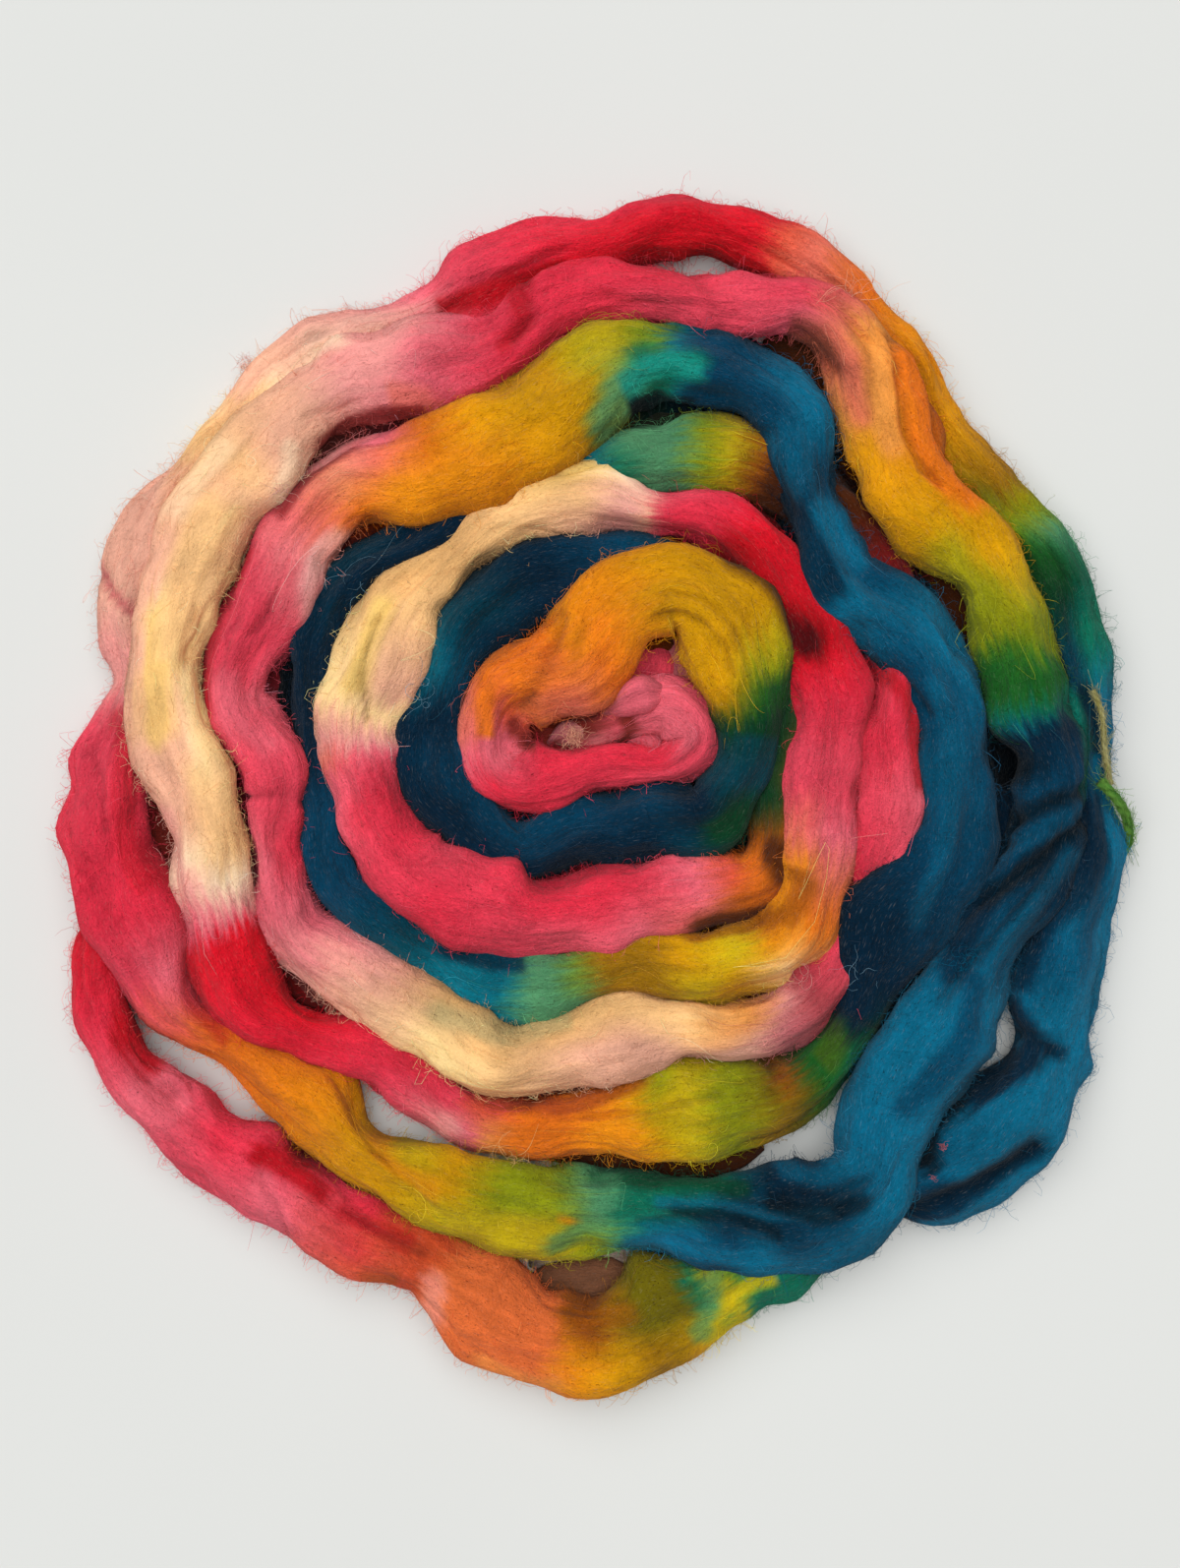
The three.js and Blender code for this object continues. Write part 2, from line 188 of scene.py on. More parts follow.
# name, colour as it looks on the lit wool, and what it is. Some are painted shade, as marked below.
DYES = [
    ("fluff", (0.88, 0.68, 0.64), "Undyed fluff, faintly pink"),
    ("cream", (1.0, 0.88, 0.73), "Undyed cream"),
    ("butter", (1.0, 0.85, 0.59), "Cream with a trace of yellow"),
    ("tan", (0.99, 0.78, 0.53), "Cream with a trace of brown"),
    ("peach", (0.95, 0.70, 0.58), "Pale peach"),
    ("wheat", (0.87, 0.67, 0.43), "Pale brown"),
    ("shell", (0.88, 0.64, 0.55), "Dull pale pink"),
    ("blush", (0.92, 0.60, 0.57), "Pale pink"),
    ("mauve", (0.78, 0.42, 0.44), "Dull pink"),
    ("salmon", (0.91, 0.45, 0.37), "Orange pink"),
    ("pink", (0.93, 0.41, 0.47), "Clear pink"),
    ("rose", (0.91, 0.28, 0.36), "Deep pink"),
    ("raspberry", (0.90, 0.19, 0.28), "Pinkish red"),
    ("red", (0.88, 0.08, 0.15), "Full red"),
    ("coral", (0.90, 0.35, 0.25), "Orange red"),
    ("orange", (0.92, 0.46, 0.10), "Full orange"),
    ("amber", (0.91, 0.55, 0.07), "Yellow orange"),
    ("gold", (0.88, 0.59, 0.05), "Golden yellow"),
    ("mustard", (0.81, 0.58, 0.03), "Mustard"),
    ("yellow", (0.76, 0.66, 0.08), "Greenish yellow"),
    ("bronze", (0.62, 0.44, 0.05), "Dark mustard"),
    ("lime", (0.56, 0.59, 0.07), "Yellow green"),
    ("olive", (0.43, 0.39, 0.05), "Olive"),
    ("rust", (0.58, 0.30, 0.06), "Brown orange"),
    ("green", (0.11, 0.37, 0.13), "Full green"),
    ("mint", (0.33, 0.58, 0.40), "Pale green"),
    ("emerald", (0.05, 0.44, 0.34), "Blue green"),
    ("lagoon", (0.10, 0.58, 0.52), "Bright blue green"),
    ("teal", (0.02, 0.42, 0.49), "Teal"),
    ("petrol", (0.01, 0.24, 0.30), "Dark teal"),
    ("blue", (0.02, 0.35, 0.47), "Clear blue"),
    ("royal", (0.01, 0.24, 0.35), "Deep blue"),
    ("navy", (0.01, 0.13, 0.21), "Navy"),
    # the next three are painted shade: the dark of wool low in a gap
    ("maroon", (0.44, 0.08, 0.08), "Dark red of the wool low in a gap"),
    ("umber", (0.30, 0.14, 0.05), "Dark brown of the wool low in a gap"),
    ("pitch", (0.01, 0.05, 0.08), "Darkest blue of the wool low in a gap"),
    ("custard", (0.96, 0.79, 0.44), "Cream with much yellow"),
    ("apricot", (0.93, 0.60, 0.28), "Pale orange"),
    ("crimson", (0.68, 0.04, 0.08), "Dark red"),
    ("berry", (0.70, 0.27, 0.30), "Dull red"),
    ("sienna", (0.76, 0.28, 0.14), "Burnt orange"),
    # the next two are painted shade as well, and the two after them colour thin sheets laid low in the gaps,
    # as painted shade on the ground there
    ("dusk", (0.20, 0.03, 0.04), "Darkest red of the wool low in a gap"),
    ("brick", (0.52, 0.17, 0.14), "Red brown of the wool low in a gap"),
    ("clay", (0.46, 0.30, 0.21), "Brown of thin wool over the ground"),
    ("ground_shade", (0.66, 0.57, 0.52), "Greyish haze of thin wool over the ground"),
    ("forest", (0.04, 0.24, 0.13), "Dark green"),
    ("azure", (0.03, 0.42, 0.55), "Bright blue"),
    ("ember", (0.87, 0.42, 0.21), "Brownish orange"),
    ("mist", (0.45, 0.60, 0.68), "Pale blue hair"),
    ("leaf", (0.42, 0.60, 0.25), "The tie's green"),
    ("straw", (0.68, 0.66, 0.47), "The tie's thin end"),
]

# Along the strand: place in rows from the inner end, dye of the inner side, and dye of the outer side where
# it differs. Where it runs low under other turns, as at its inner end and round row 68, the dark brick, umber
# and maroon are painted shade, and the azure on the tops of the blue turns is partly painted light.
DYES_ALONG = [
    (0, "brick"), (0.7, "mauve", "brick"), (1.2, "mauve", "rose"), (1.7, "pink"), (3.3, "pink", "rose"),
    (4, "raspberry", "rose"), (6, "raspberry"), (7, "rose", "raspberry"), (7.6, "pink"),
    (8.2, "pink", "salmon"), (8.7, "coral", "salmon"), (9.3, "orange"), (10, "salmon", "orange"),
    (10.6, "orange", "amber"), (11.3, "amber"), (12, "mustard", "gold"), (13, "mustard"),
    (13.6, "mustard"), (14.1, "mustard", "yellow"), (14.4, "mustard", "lime"),
    (14.65, "mustard", "green"), (15, "olive", "green"), (15.35, "forest"), (15.8, "petrol", "forest"),
    (16.3, "petrol"), (16.8, "navy", "forest"), (17.4, "navy", "petrol"), (18, "royal", "navy"),
    (22, "royal", "navy"), (22.6, "navy"), (23.3, "royal", "teal"), (23.9, "navy", "petrol"),
    (25, "navy"), (26, "navy", "royal"), (27, "navy", "petrol"), (28, "petrol", "forest"), (29, "forest"),
    (30.3, "forest", "rust"), (31, "rust"), (31.8, "orange"), (32.4, "coral", "orange"),
    (33, "pink", "salmon"), (34, "raspberry", "pink"), (35, "raspberry", "rose"),
    (36.5, "rose", "raspberry"), (37.5, "raspberry", "rose"), (38.1, "raspberry", "pink"),
    (38.5, "rose", "pink"), (38.75, "pink", "salmon"), (39, "blush"), (39.3, "peach"), (39.6, "butter"),
    (40, "peach", "butter"), (41, "tan", "wheat"), (42, "wheat"), (43, "tan"), (44, "peach", "custard"),
    (44.6, "blush", "cream"), (44.9, "peach", "blush"), (45.15, "rose"), (45.4, "raspberry", "rose"),
    (46, "raspberry"), (46.6, "crimson", "red"), (47.8, "crimson", "red"), (48.4, "red"),
    (49, "raspberry"), (49.6, "rose"), (50, "rose"), (50.6, "salmon", "pink"), (51, "amber", "salmon"),
    (51.6, "amber", "orange"), (52.2, "amber", "tan"), (52.8, "yellow", "mustard"),
    (53.4, "mustard", "yellow"), (53.9, "bronze"), (54.35, "bronze"), (54.7, "lime", "mint"),
    (55, "mint"), (55.4, "mint"), (55.8, "teal"), (56.4, "teal"), (57, "petrol", "teal"), (58, "royal"),
    (59, "royal"), (60, "navy"), (61, "navy"), (62, "navy", "petrol"), (63, "navy"), (64.2, "navy"),
    (64.6, "petrol"), (65.05, "teal"), (65.4, "emerald", "mint"), (65.8, "mint"), (66.1, "mint"),
    (66.4, "lime"), (66.7, "yellow"), (66.95, "bronze"), (67.2, "rust"), (67.45, "umber"),
    (68.3, "umber"), (68.8, "maroon"), (69.4, "red", "maroon"), (70, "rose", "raspberry"),
    (71, "raspberry", "rose"), (72, "rose", "pink"), (73, "raspberry", "rose"), (74.3, "rose"),
    (75, "berry"), (75.5, "blush", "mauve"), (76, "apricot", "shell"), (77, "tan", "shell"),
    (78, "wheat", "peach"), (79, "wheat", "tan"), (80, "wheat", "butter"), (81, "blush", "peach"),
    (81.7, "pink", "blush"), (82.3, "pink"), (83, "raspberry", "pink"), (84, "rose"),
    (85, "pink", "rose"), (86, "rose"), (87, "blush", "rose"), (87.4, "salmon", "pink"),
    (88, "orange", "blush"), (88.6, "amber", "pink"), (89.1, "amber", "orange"), (89.7, "amber", "gold"),
    (90.2, "gold", "mustard"), (90.8, "mustard"), (91.2, "mustard", "yellow"), (91.5, "mint", "yellow"),
    (91.8, "emerald", "yellow"), (92.15, "emerald", "lime"), (92.4, "teal"), (92.65, "royal"),
    (93.2, "royal"), (93.8, "royal", "azure"), (94.4, "blue", "azure"), (95, "navy", "royal"),
    (95.6, "azure", "blue"), (96.4, "azure", "royal"), (97, "blue", "azure"), (97.6, "royal", "azure"),
    (98.2, "royal", "blue"), (99, "blue", "royal"), (100, "royal"), (101, "navy", "royal"), (102, "navy"),
    (102.6, "navy", "forest"), (103, "green", "emerald"), (103.4, "green"), (103.75, "rust", "olive"),
    (104.05, "olive", "bronze"), (104.5, "lime"), (104.9, "yellow"), (105.3, "lime", "mustard"),
    (105.7, "gold", "amber"), (106, "amber"), (106.6, "orange"), (107, "orange"),
    (107.4, "coral", "apricot"), (107.7, "coral", "pink"), (108, "rose", "blush"),
    (108.6, "raspberry", "rose"), (109, "raspberry"), (110, "red", "raspberry"), (111.7, "red"),
    (111.82, "pink", "rose"), (111.95, "blush", "pink"), (112.25, "cream", "blush"),
    (112.6, "tan", "cream"), (113, "tan", "peach"), (114, "butter", "peach"), (115, "butter", "peach"),
    (116, "tan", "peach"), (117, "peach", "tan"), (117.7, "peach"), (118.3, "blush"),
    (119, "pink", "blush"), (119.6, "rose", "pink"), (120, "raspberry", "rose"), (121, "raspberry"),
    (122, "rose", "raspberry"), (123, "rose"), (124, "pink", "rose"), (124.6, "salmon"),
    (125, "salmon", "apricot"), (125.7, "apricot", "orange"), (126.4, "gold", "orange"), (127, "gold"),
    (127.5, "mustard"), (128, "yellow", "mustard"), (128.7, "lime", "yellow"), (129, "lime"),
    (129.3, "green", "lime"), (129.55, "green"), (129.75, "green"), (129.95, "emerald"),
    (130.1, "teal", "petrol"), (130.22, "navy"), (131, "royal"), (132, "royal", "navy"),
    (133, "royal", "blue"), (133.5, "blue", "azure"), (134, "azure", "blue"), (135, "azure"),
    (136, "blue", "azure"), (136.8, "navy", "blue"), (137.6, "navy", "azure"), (138, "petrol", "royal"),
    (138.5, "emerald", "blue"), (139, "emerald", "teal"), (139.3, "emerald", "mint"),
    (139.6, "mint", "lime"), (140, "lime", "yellow"), (140.6, "lime", "yellow"),
    (141.2, "mustard", "yellow"), (142, "yellow", "mustard"), (142.6, "gold"), (143, "amber"),
    (144, "orange"), (144.5, "coral", "orange"), (145, "pink", "coral"), (145.6, "pink", "rose"),
    (146.3, "raspberry"), (147, "raspberry"), (148.4, "rose"), (149, "pink", "blush"),
    (149.5, "shell", "blush"), (150, "shell"), (151, "shell"), (152, "tan", "shell"),
    (153, "wheat", "tan"), (153.5, "tan", "peach"), (154, "cream", "peach"), (155, "cream", "blush"),
    (156, "blush", "pink"), (156.8, "rose"), (157.8, "raspberry"), (158.6, "red", "raspberry"),
    (160, "red", "raspberry"), (161, "red"), (161.3, "coral"), (161.7, "salmon"),
    (162.3, "salmon", "orange"), (162.8, "orange", "amber"), (163, "amber"), (164, "mustard", "gold"),
    (165, "olive", "bronze"), (165.4, "lime"), (165.8, "green", "mint"), (166.4, "forest", "emerald"),
    (167, "petrol", "emerald"), (168, "royal", "azure"), (169, "royal", "azure"), (170, "navy", "azure"),
    (171, "royal", "azure"), (172, "azure"), (173, "azure"), (174, "blue", "azure"), (175, "royal"),
    (176, "emerald"), (176.8, "emerald"), (177.2, "lime", "emerald"), (177.5, "yellow"),
    (177.9, "emerald", "yellow"), (178.15, "olive", "yellow"), (178.3, "olive", "mustard"),
    (178.8, "olive", "bronze"), (179.2, "bronze", "mustard"), (179.5, "rust", "gold"),
    (179.8, "rust", "amber"), (180.1, "ember"), (181.6, "ember"), (182, "sienna"),
    (182.5, "sienna", "coral"), (183, "raspberry", "coral"), (184, "rose", "pink"),
    (185, "raspberry", "rose"), (186, "pink"), (187, "raspberry"), (189, "red"),
]

DYE_AHEAD = 3.5  # how far along the strand the second dye of a place is read, millimetres
PERIMETER = 80.0  # round the strand as its pattern counts it, millimetres
SHADE_DEPTH = 0.4  # of the painted shade on the wool low down beside another turn
SHADE_LESS_ON_PALE = 0.7  # share of the shade that the palest dye would not take
SHADE_TOP = 0.8  # height from which there is no shade, as a share of the half thickness
SHADE_FALL = 1.3  # how fast the shade fades with the height: 1 is evenly

LOOSE_LOCK_DYES = [(0, "pink", "pink"), (1.4, "pink", "pink"), (2.2, "mauve", "pink"), (3, "salmon", "mauve")]
TUFT_DETAIL = 0.45

# Tufts that have come loose: rows of (x, y, width, lift) and their dyes.
TUFTS = [
    (LOOSE_LOCK_ROWS, LOOSE_LOCK_DYES),
    # the brick at this tuft's start is painted shade in the hollow it lies in
    ([(-18, 17, 5, 3), (-12, 21, 9, 4), (-5, 21, 9, 4), (1, 18, 6, 3)],
     [(0, "brick", "mauve"), (1, "mauve", "mauve"), (2, "mauve", "blush"), (3, "mauve", "mauve")]),
]

# Thin flat wool low in the gaps between turns: rows of (x, y, width, lift), and one dye. The pink and rose
# strips fill the heart's hollow, the mauve one partly as painted shade; the rest are painted shade, dark
# sheets that stand for the shade down in the gaps and on the ground seen through them.
LOW_WOOL_AND_SHADE = [
    ([(-36, 22, 14, 1), (-26, 18, 16, 1), (-10, 20, 18, 1), (8, 20, 18, 1), (22, 21, 12, 1)], "brick"),
    ([(10, 20, 10, 7), (18, 20, 12, 8), (28, 20, 12, 8), (33, 21, 8, 7)], "pink"),
    ([(15, 33, 16, 4), (20, 45, 18, 6), (21, 57, 13, 4)], "rose"),
    ([(37, 34, 14, 4), (31, 44, 15, 6), (26, 57, 12, 4)], "mauve"),
    ([(-104, 120, 14, 0), (-80, 131, 17, 0), (-54, 139, 14, 0)], "maroon"),
    ([(-113, 22, 14, 0), (-110, 40, 16, 0), (-105, 56, 12, 0)], "maroon"),
    ([(114, 82, 12, 0), (125, 66, 18, 0), (136, 46, 10, 0)], "umber"),
    ([(82, 128, 14, 0), (90, 106, 18, 0), (104, 82, 16, 0)], "umber"),
    ([(60, 160, 18, 0), (76, 160, 22, 0), (90, 138, 16, 0)], "umber"),
    ([(6, 137, 12, 0), (24, 139, 18, 0), (42, 136, 12, 0)], "umber"),
    ([(142, 28, 13, 0), (146, 14, 18, 0), (145, 2, 12, 0)], "pitch"),
    ([(141, -32, 14, 4), (146, -14, 18, 5), (147, 2, 14, 2)], "navy"),
    ([(-124, 2, 12, 0), (-126, -18, 13, 0), (-121, -38, 10, 0)], "maroon"),
    ([(-160, 8, 12, 1), (-158, -12, 17, 1), (-156, -28, 16, 1), (-148, -44, 8, 1)], "brick"),
    ([(-114, -54, 12, 0), (-105, -69, 15, 0), (-88, -78, 10, 0)], "maroon"),
    ([(60, -12, 12, 0), (64, -28, 14, 0), (56, -44, 10, 0)], "umber"),
    ([(-34, -124, 9, 0), (-10, -128, 13, 0), (16, -130, 15, 0), (40, -131, 15, 0),
     (60, -127, 9, 0)], "umber"),
    ([(-27, -178, 12, 0), (-8, -178, 19, 0), (14, -176, 16, 0)], "clay"),
    ([(-25, -170, 9, -1), (-8, -169, 12, -1), (8, -168, 12, -1), (14, -168, 8, -1)], "ground_shade"),
]
LOW_DETAIL = 0.3
LOW_FLATNESS = 0.35

# The wider, lower wool under the strand, dimmed as painted shade: the rows it runs between, how much wider it
# is, and how dim.
UNDER_SPANS = [(2.0, 101.0), (114.5, 121.5)]
UNDER_WIDER = 9.0
UNDER_DETAIL = 0.5
UNDER_FLATNESS = 0.4
UNDER_SHADE = (0.46, 0.30, 0.32)

# Where the strand's sides are pressed in or swell: row, x, y, radius, push outwards and push upwards.
TOUCHES = [
    (9.9, -12, 25, 9, -4, 0), (11.2, 16, 52, 8, -3, 0), (12.6, 31, 52, 9, 2.5, 0),
    (1.2, 12, 24, 6, -3, -3), (9.6, -30, 58, 11, -4, 0), (6.1, -22, 12, 9, 5, 0), (8.2, -27, 21, 8, 4, 0),
    (9.4, -21, 26, 8, 2, 0), (4.4, 20, 0, 13, -3, 0), (10.6, 5, 42, 8, -2, 0), (11.4, 18, 54, 8, -4, 0),
    (30.4, 55, -8, 9, 2, 0), (54.9, -15, -78, 13, 5, 3), (54, 12, -72, 11, -4, 0),
    (61.4, -112, 46, 11, -4, 0), (66, 22, 137, 10, -5, 0), (65.1, 1, 112, 9, -4, -2),
    (44.5, 1, 112, 9, 2.5, 2), (77.4, 12, -69, 12, 6, 2), (78.4, -15, -75, 12, -5, -2),
    (74.5, 96, -40, 13, -7, -6), (83, -126, -16, 14, -2.5, 0), (83.7, -104, 0, 5, -2, 0),
    (85.4, -113, 46, 9, -3, 0), (85, -116, 32, 7, 2, 0), (92, 20, 140, 9, -2, 0),
    (100.8, 90, -42, 15, 7, 3), (104, 68, -120, 12, -2, 0), (108, -62, -120, 10, -3, 0),
    (110.4, -103, -70, 11, -3.5, 0), (122.6, 40, 187, 11, -0.8, 0), (119.6, -48, 171, 14, -3, -3),
    (126.9, 90, 110, 9, -3, 0), (127.4, 107, 84, 9, 4, 0), (128.6, 122, 68, 10, -8, 0),
    (127.2, 137, 113, 17, -7, 0), (130.5, 144, 13, 8, -8, 0), (134.2, 142, -92, 9, -2.5, 0),
    (137.8, 45, -138, 18, 5, 0), (136.9, 72, -136, 13, 4, 0), (138.8, 17, -135, 12, 2.5, 0),
    (142.6, -75, -113, 14, -10, 0), (147, -192, -11, 9, 3.5, 0), (146.3, -191, -37, 14, -6, 0),
    (148, -189, 4, 5, -2, 0), (148.2, -190, 13, 5, 2, 0), (148.7, -183, 25, 8, -2.5, 0),
    (147, -157, -18, 13, -9, 0), (112.8, -157, -14, 13, -4.5, 0), (157.2, -42, 168, 13, 3, 3),
    (160.4, 40, 191, 9, -3, 0), (171.5, 149, -63, 11, 5, 0), (172.3, 145, -90, 11, -7, 0),
    (172.6, 177, -97, 7, 3.5, 0), (172.9, 171, -109, 6, -1.5, 0), (173.4, 147, -138, 15, 3.5, 0),
    (174.3, 120, -150, 11, 4, 0), (175.2, 103, -152, 5, -3, 0), (176.3, 68, -178, 9, 4.5, 0),
    (177.4, 45, -192, 11, -4, 0), (178.8, 17, -172, 9, 9, 0), (179.4, -3, -174, 9, -6, 0),
    (180, -8, -212, 14, 2.5, 0), (181.2, -64, -194, 13, -8, 0), (184.2, -107, -127, 7, -4, 0),
    (185.3, -130, -109, 10, -6, 0), (186.3, -160, -90, 7, -3, 0), (186.9, -186, -82, 9, 3, 0),
    (184.6, -116, -117, 5, 3, 0),
]

# Creases: first and last row of their stretch, half width, depth, and their line over the ground. Each is
# pressed into the skin and painted with shade.
CREASES = [
    (8.8, 11.4, 1.6, 3.2, [(-12, 63), (-15, 52), (-19, 43), (-25, 30)]),
    (7.4, 9.6, 1.3, 2, [(-40, 44), (-37, 34), (-33, 26)]),
    (9.5, 11, 1.2, 1.6, [(-4, 58), (-8, 48), (-9, 38)]),
    (11.2, 14.4, 1.1, 2.4, [(20, 62), (29, 63), (38, 58), (44, 50), (47, 40), (45, 30)]),
    (11.2, 15, 1.1, 1.8, [(24, 70), (36, 68), (45, 61), (51, 52), (52, 42), (50, 34)]),
    (5.2, 7.8, 1.2, 2, [(-22, -5), (-22, 4), (-26, 12)]),
    (38.5, 41.2, 1.1, 3.4, [(-78, 62), (-82, 50), (-83, 38), (-80, 26)]),
    (83.2, 84.2, 1.3, 3.4, [(-127, -1), (-116, 0), (-103, -1)]),
    (85.8, 87, 1.2, 2.2, [(-112, 74), (-115, 64), (-122, 56)]),
    (96.6, 98.4, 1, 2.2, [(98, 47), (106, 42), (112, 35), (117, 27)]),
    (104.6, 106.6, 1.1, 2.4, [(-5, -113), (20, -111), (42, -105), (60, -98)]),
    (103.4, 104.6, 1.8, 3.5, [(58, -92), (62, -98), (60, -106)]),
    (118.8, 121.2, 1.9, 2.6, [(-21, 187), (-25, 177), (-22, 169), (-29, 159)]),
    (121.8, 123.6, 1.8, 2.2, [(28, 190), (36, 182), (40, 172), (43, 163)]),
    (124.2, 125.4, 1.6, 2.6, [(72, 178), (84, 172), (92, 160)]),
    (124.8, 127.2, 1.3, 3.6, [(103, 160), (105, 142), (107, 128), (112, 114), (121, 107)]),
    (125.2, 127, 1.2, 2.4, [(113, 152), (117, 139), (119, 128), (121, 117)]),
    (124.8, 126.4, 1, 2, [(94, 158), (95, 145), (94, 132)]),
    (130.4, 132, 2.2, 5, [(138, -14), (147, -8), (158, -3), (172, 2)]),
    (130.7, 132.4, 1.4, 2.6, [(137, -20), (150, -14), (161, -10), (173, -5)]),
    (131, 133.2, 2.4, 5.5, [(134, -37), (146, -28), (160, -18), (174, -9)]),
    (131.8, 134.6, 1.6, 3, [(120, -72), (131, -58), (146, -40), (160, -26)]),
    (137.2, 139.8, 1.4, 3, [(16, -150), (36, -149), (58, -157)]),
    (136.4, 139, 1.3, 3, [(30, -140), (56, -144), (84, -150)]),
    (135.4, 137.4, 1.6, 3.5, [(62, -139), (78, -140), (94, -134)]),
    (141.8, 143.6, 1, 1.8, [(-92, -100), (-84, -118), (-70, -134)]),
    (149.6, 151.2, 1.5, 3.2, [(-176, 79), (-172, 72), (-168, 67), (-161, 62)]),
    (147, 149, 1.3, 2.4, [(-181, 16), (-174, 4), (-172, -12)]),
    (153.8, 154.8, 1.3, 2.6, [(-112, 155), (-104, 160), (-95, 164)]),
    (157, 159.4, 1.4, 2.2, [(-50, 178), (-30, 184), (-12, 192)]),
    (172, 173, 1.6, 4, [(150, -84), (158, -87), (161, -91), (155, -96)]),
    (172.4, 175.6, 4.6, 5, [(108, -147), (118, -143), (130, -139), (143, -132), (155, -124)]),
    (181.8, 183.6, 1.6, 2.8, [(-88, -146), (-74, -156), (-60, -162)]),
    (183.5, 184.8, 1.3, 2.2, [(-119, -134), (-113, -145), (-110, -156)]),
    (185.6, 186.6, 1.6, 2.4, [(-163, -100), (-152, -104), (-142, -116)]),
    (187, 189, 1.2, 2, [(-184, -52), (-182, -70), (-176, -86)]),
]
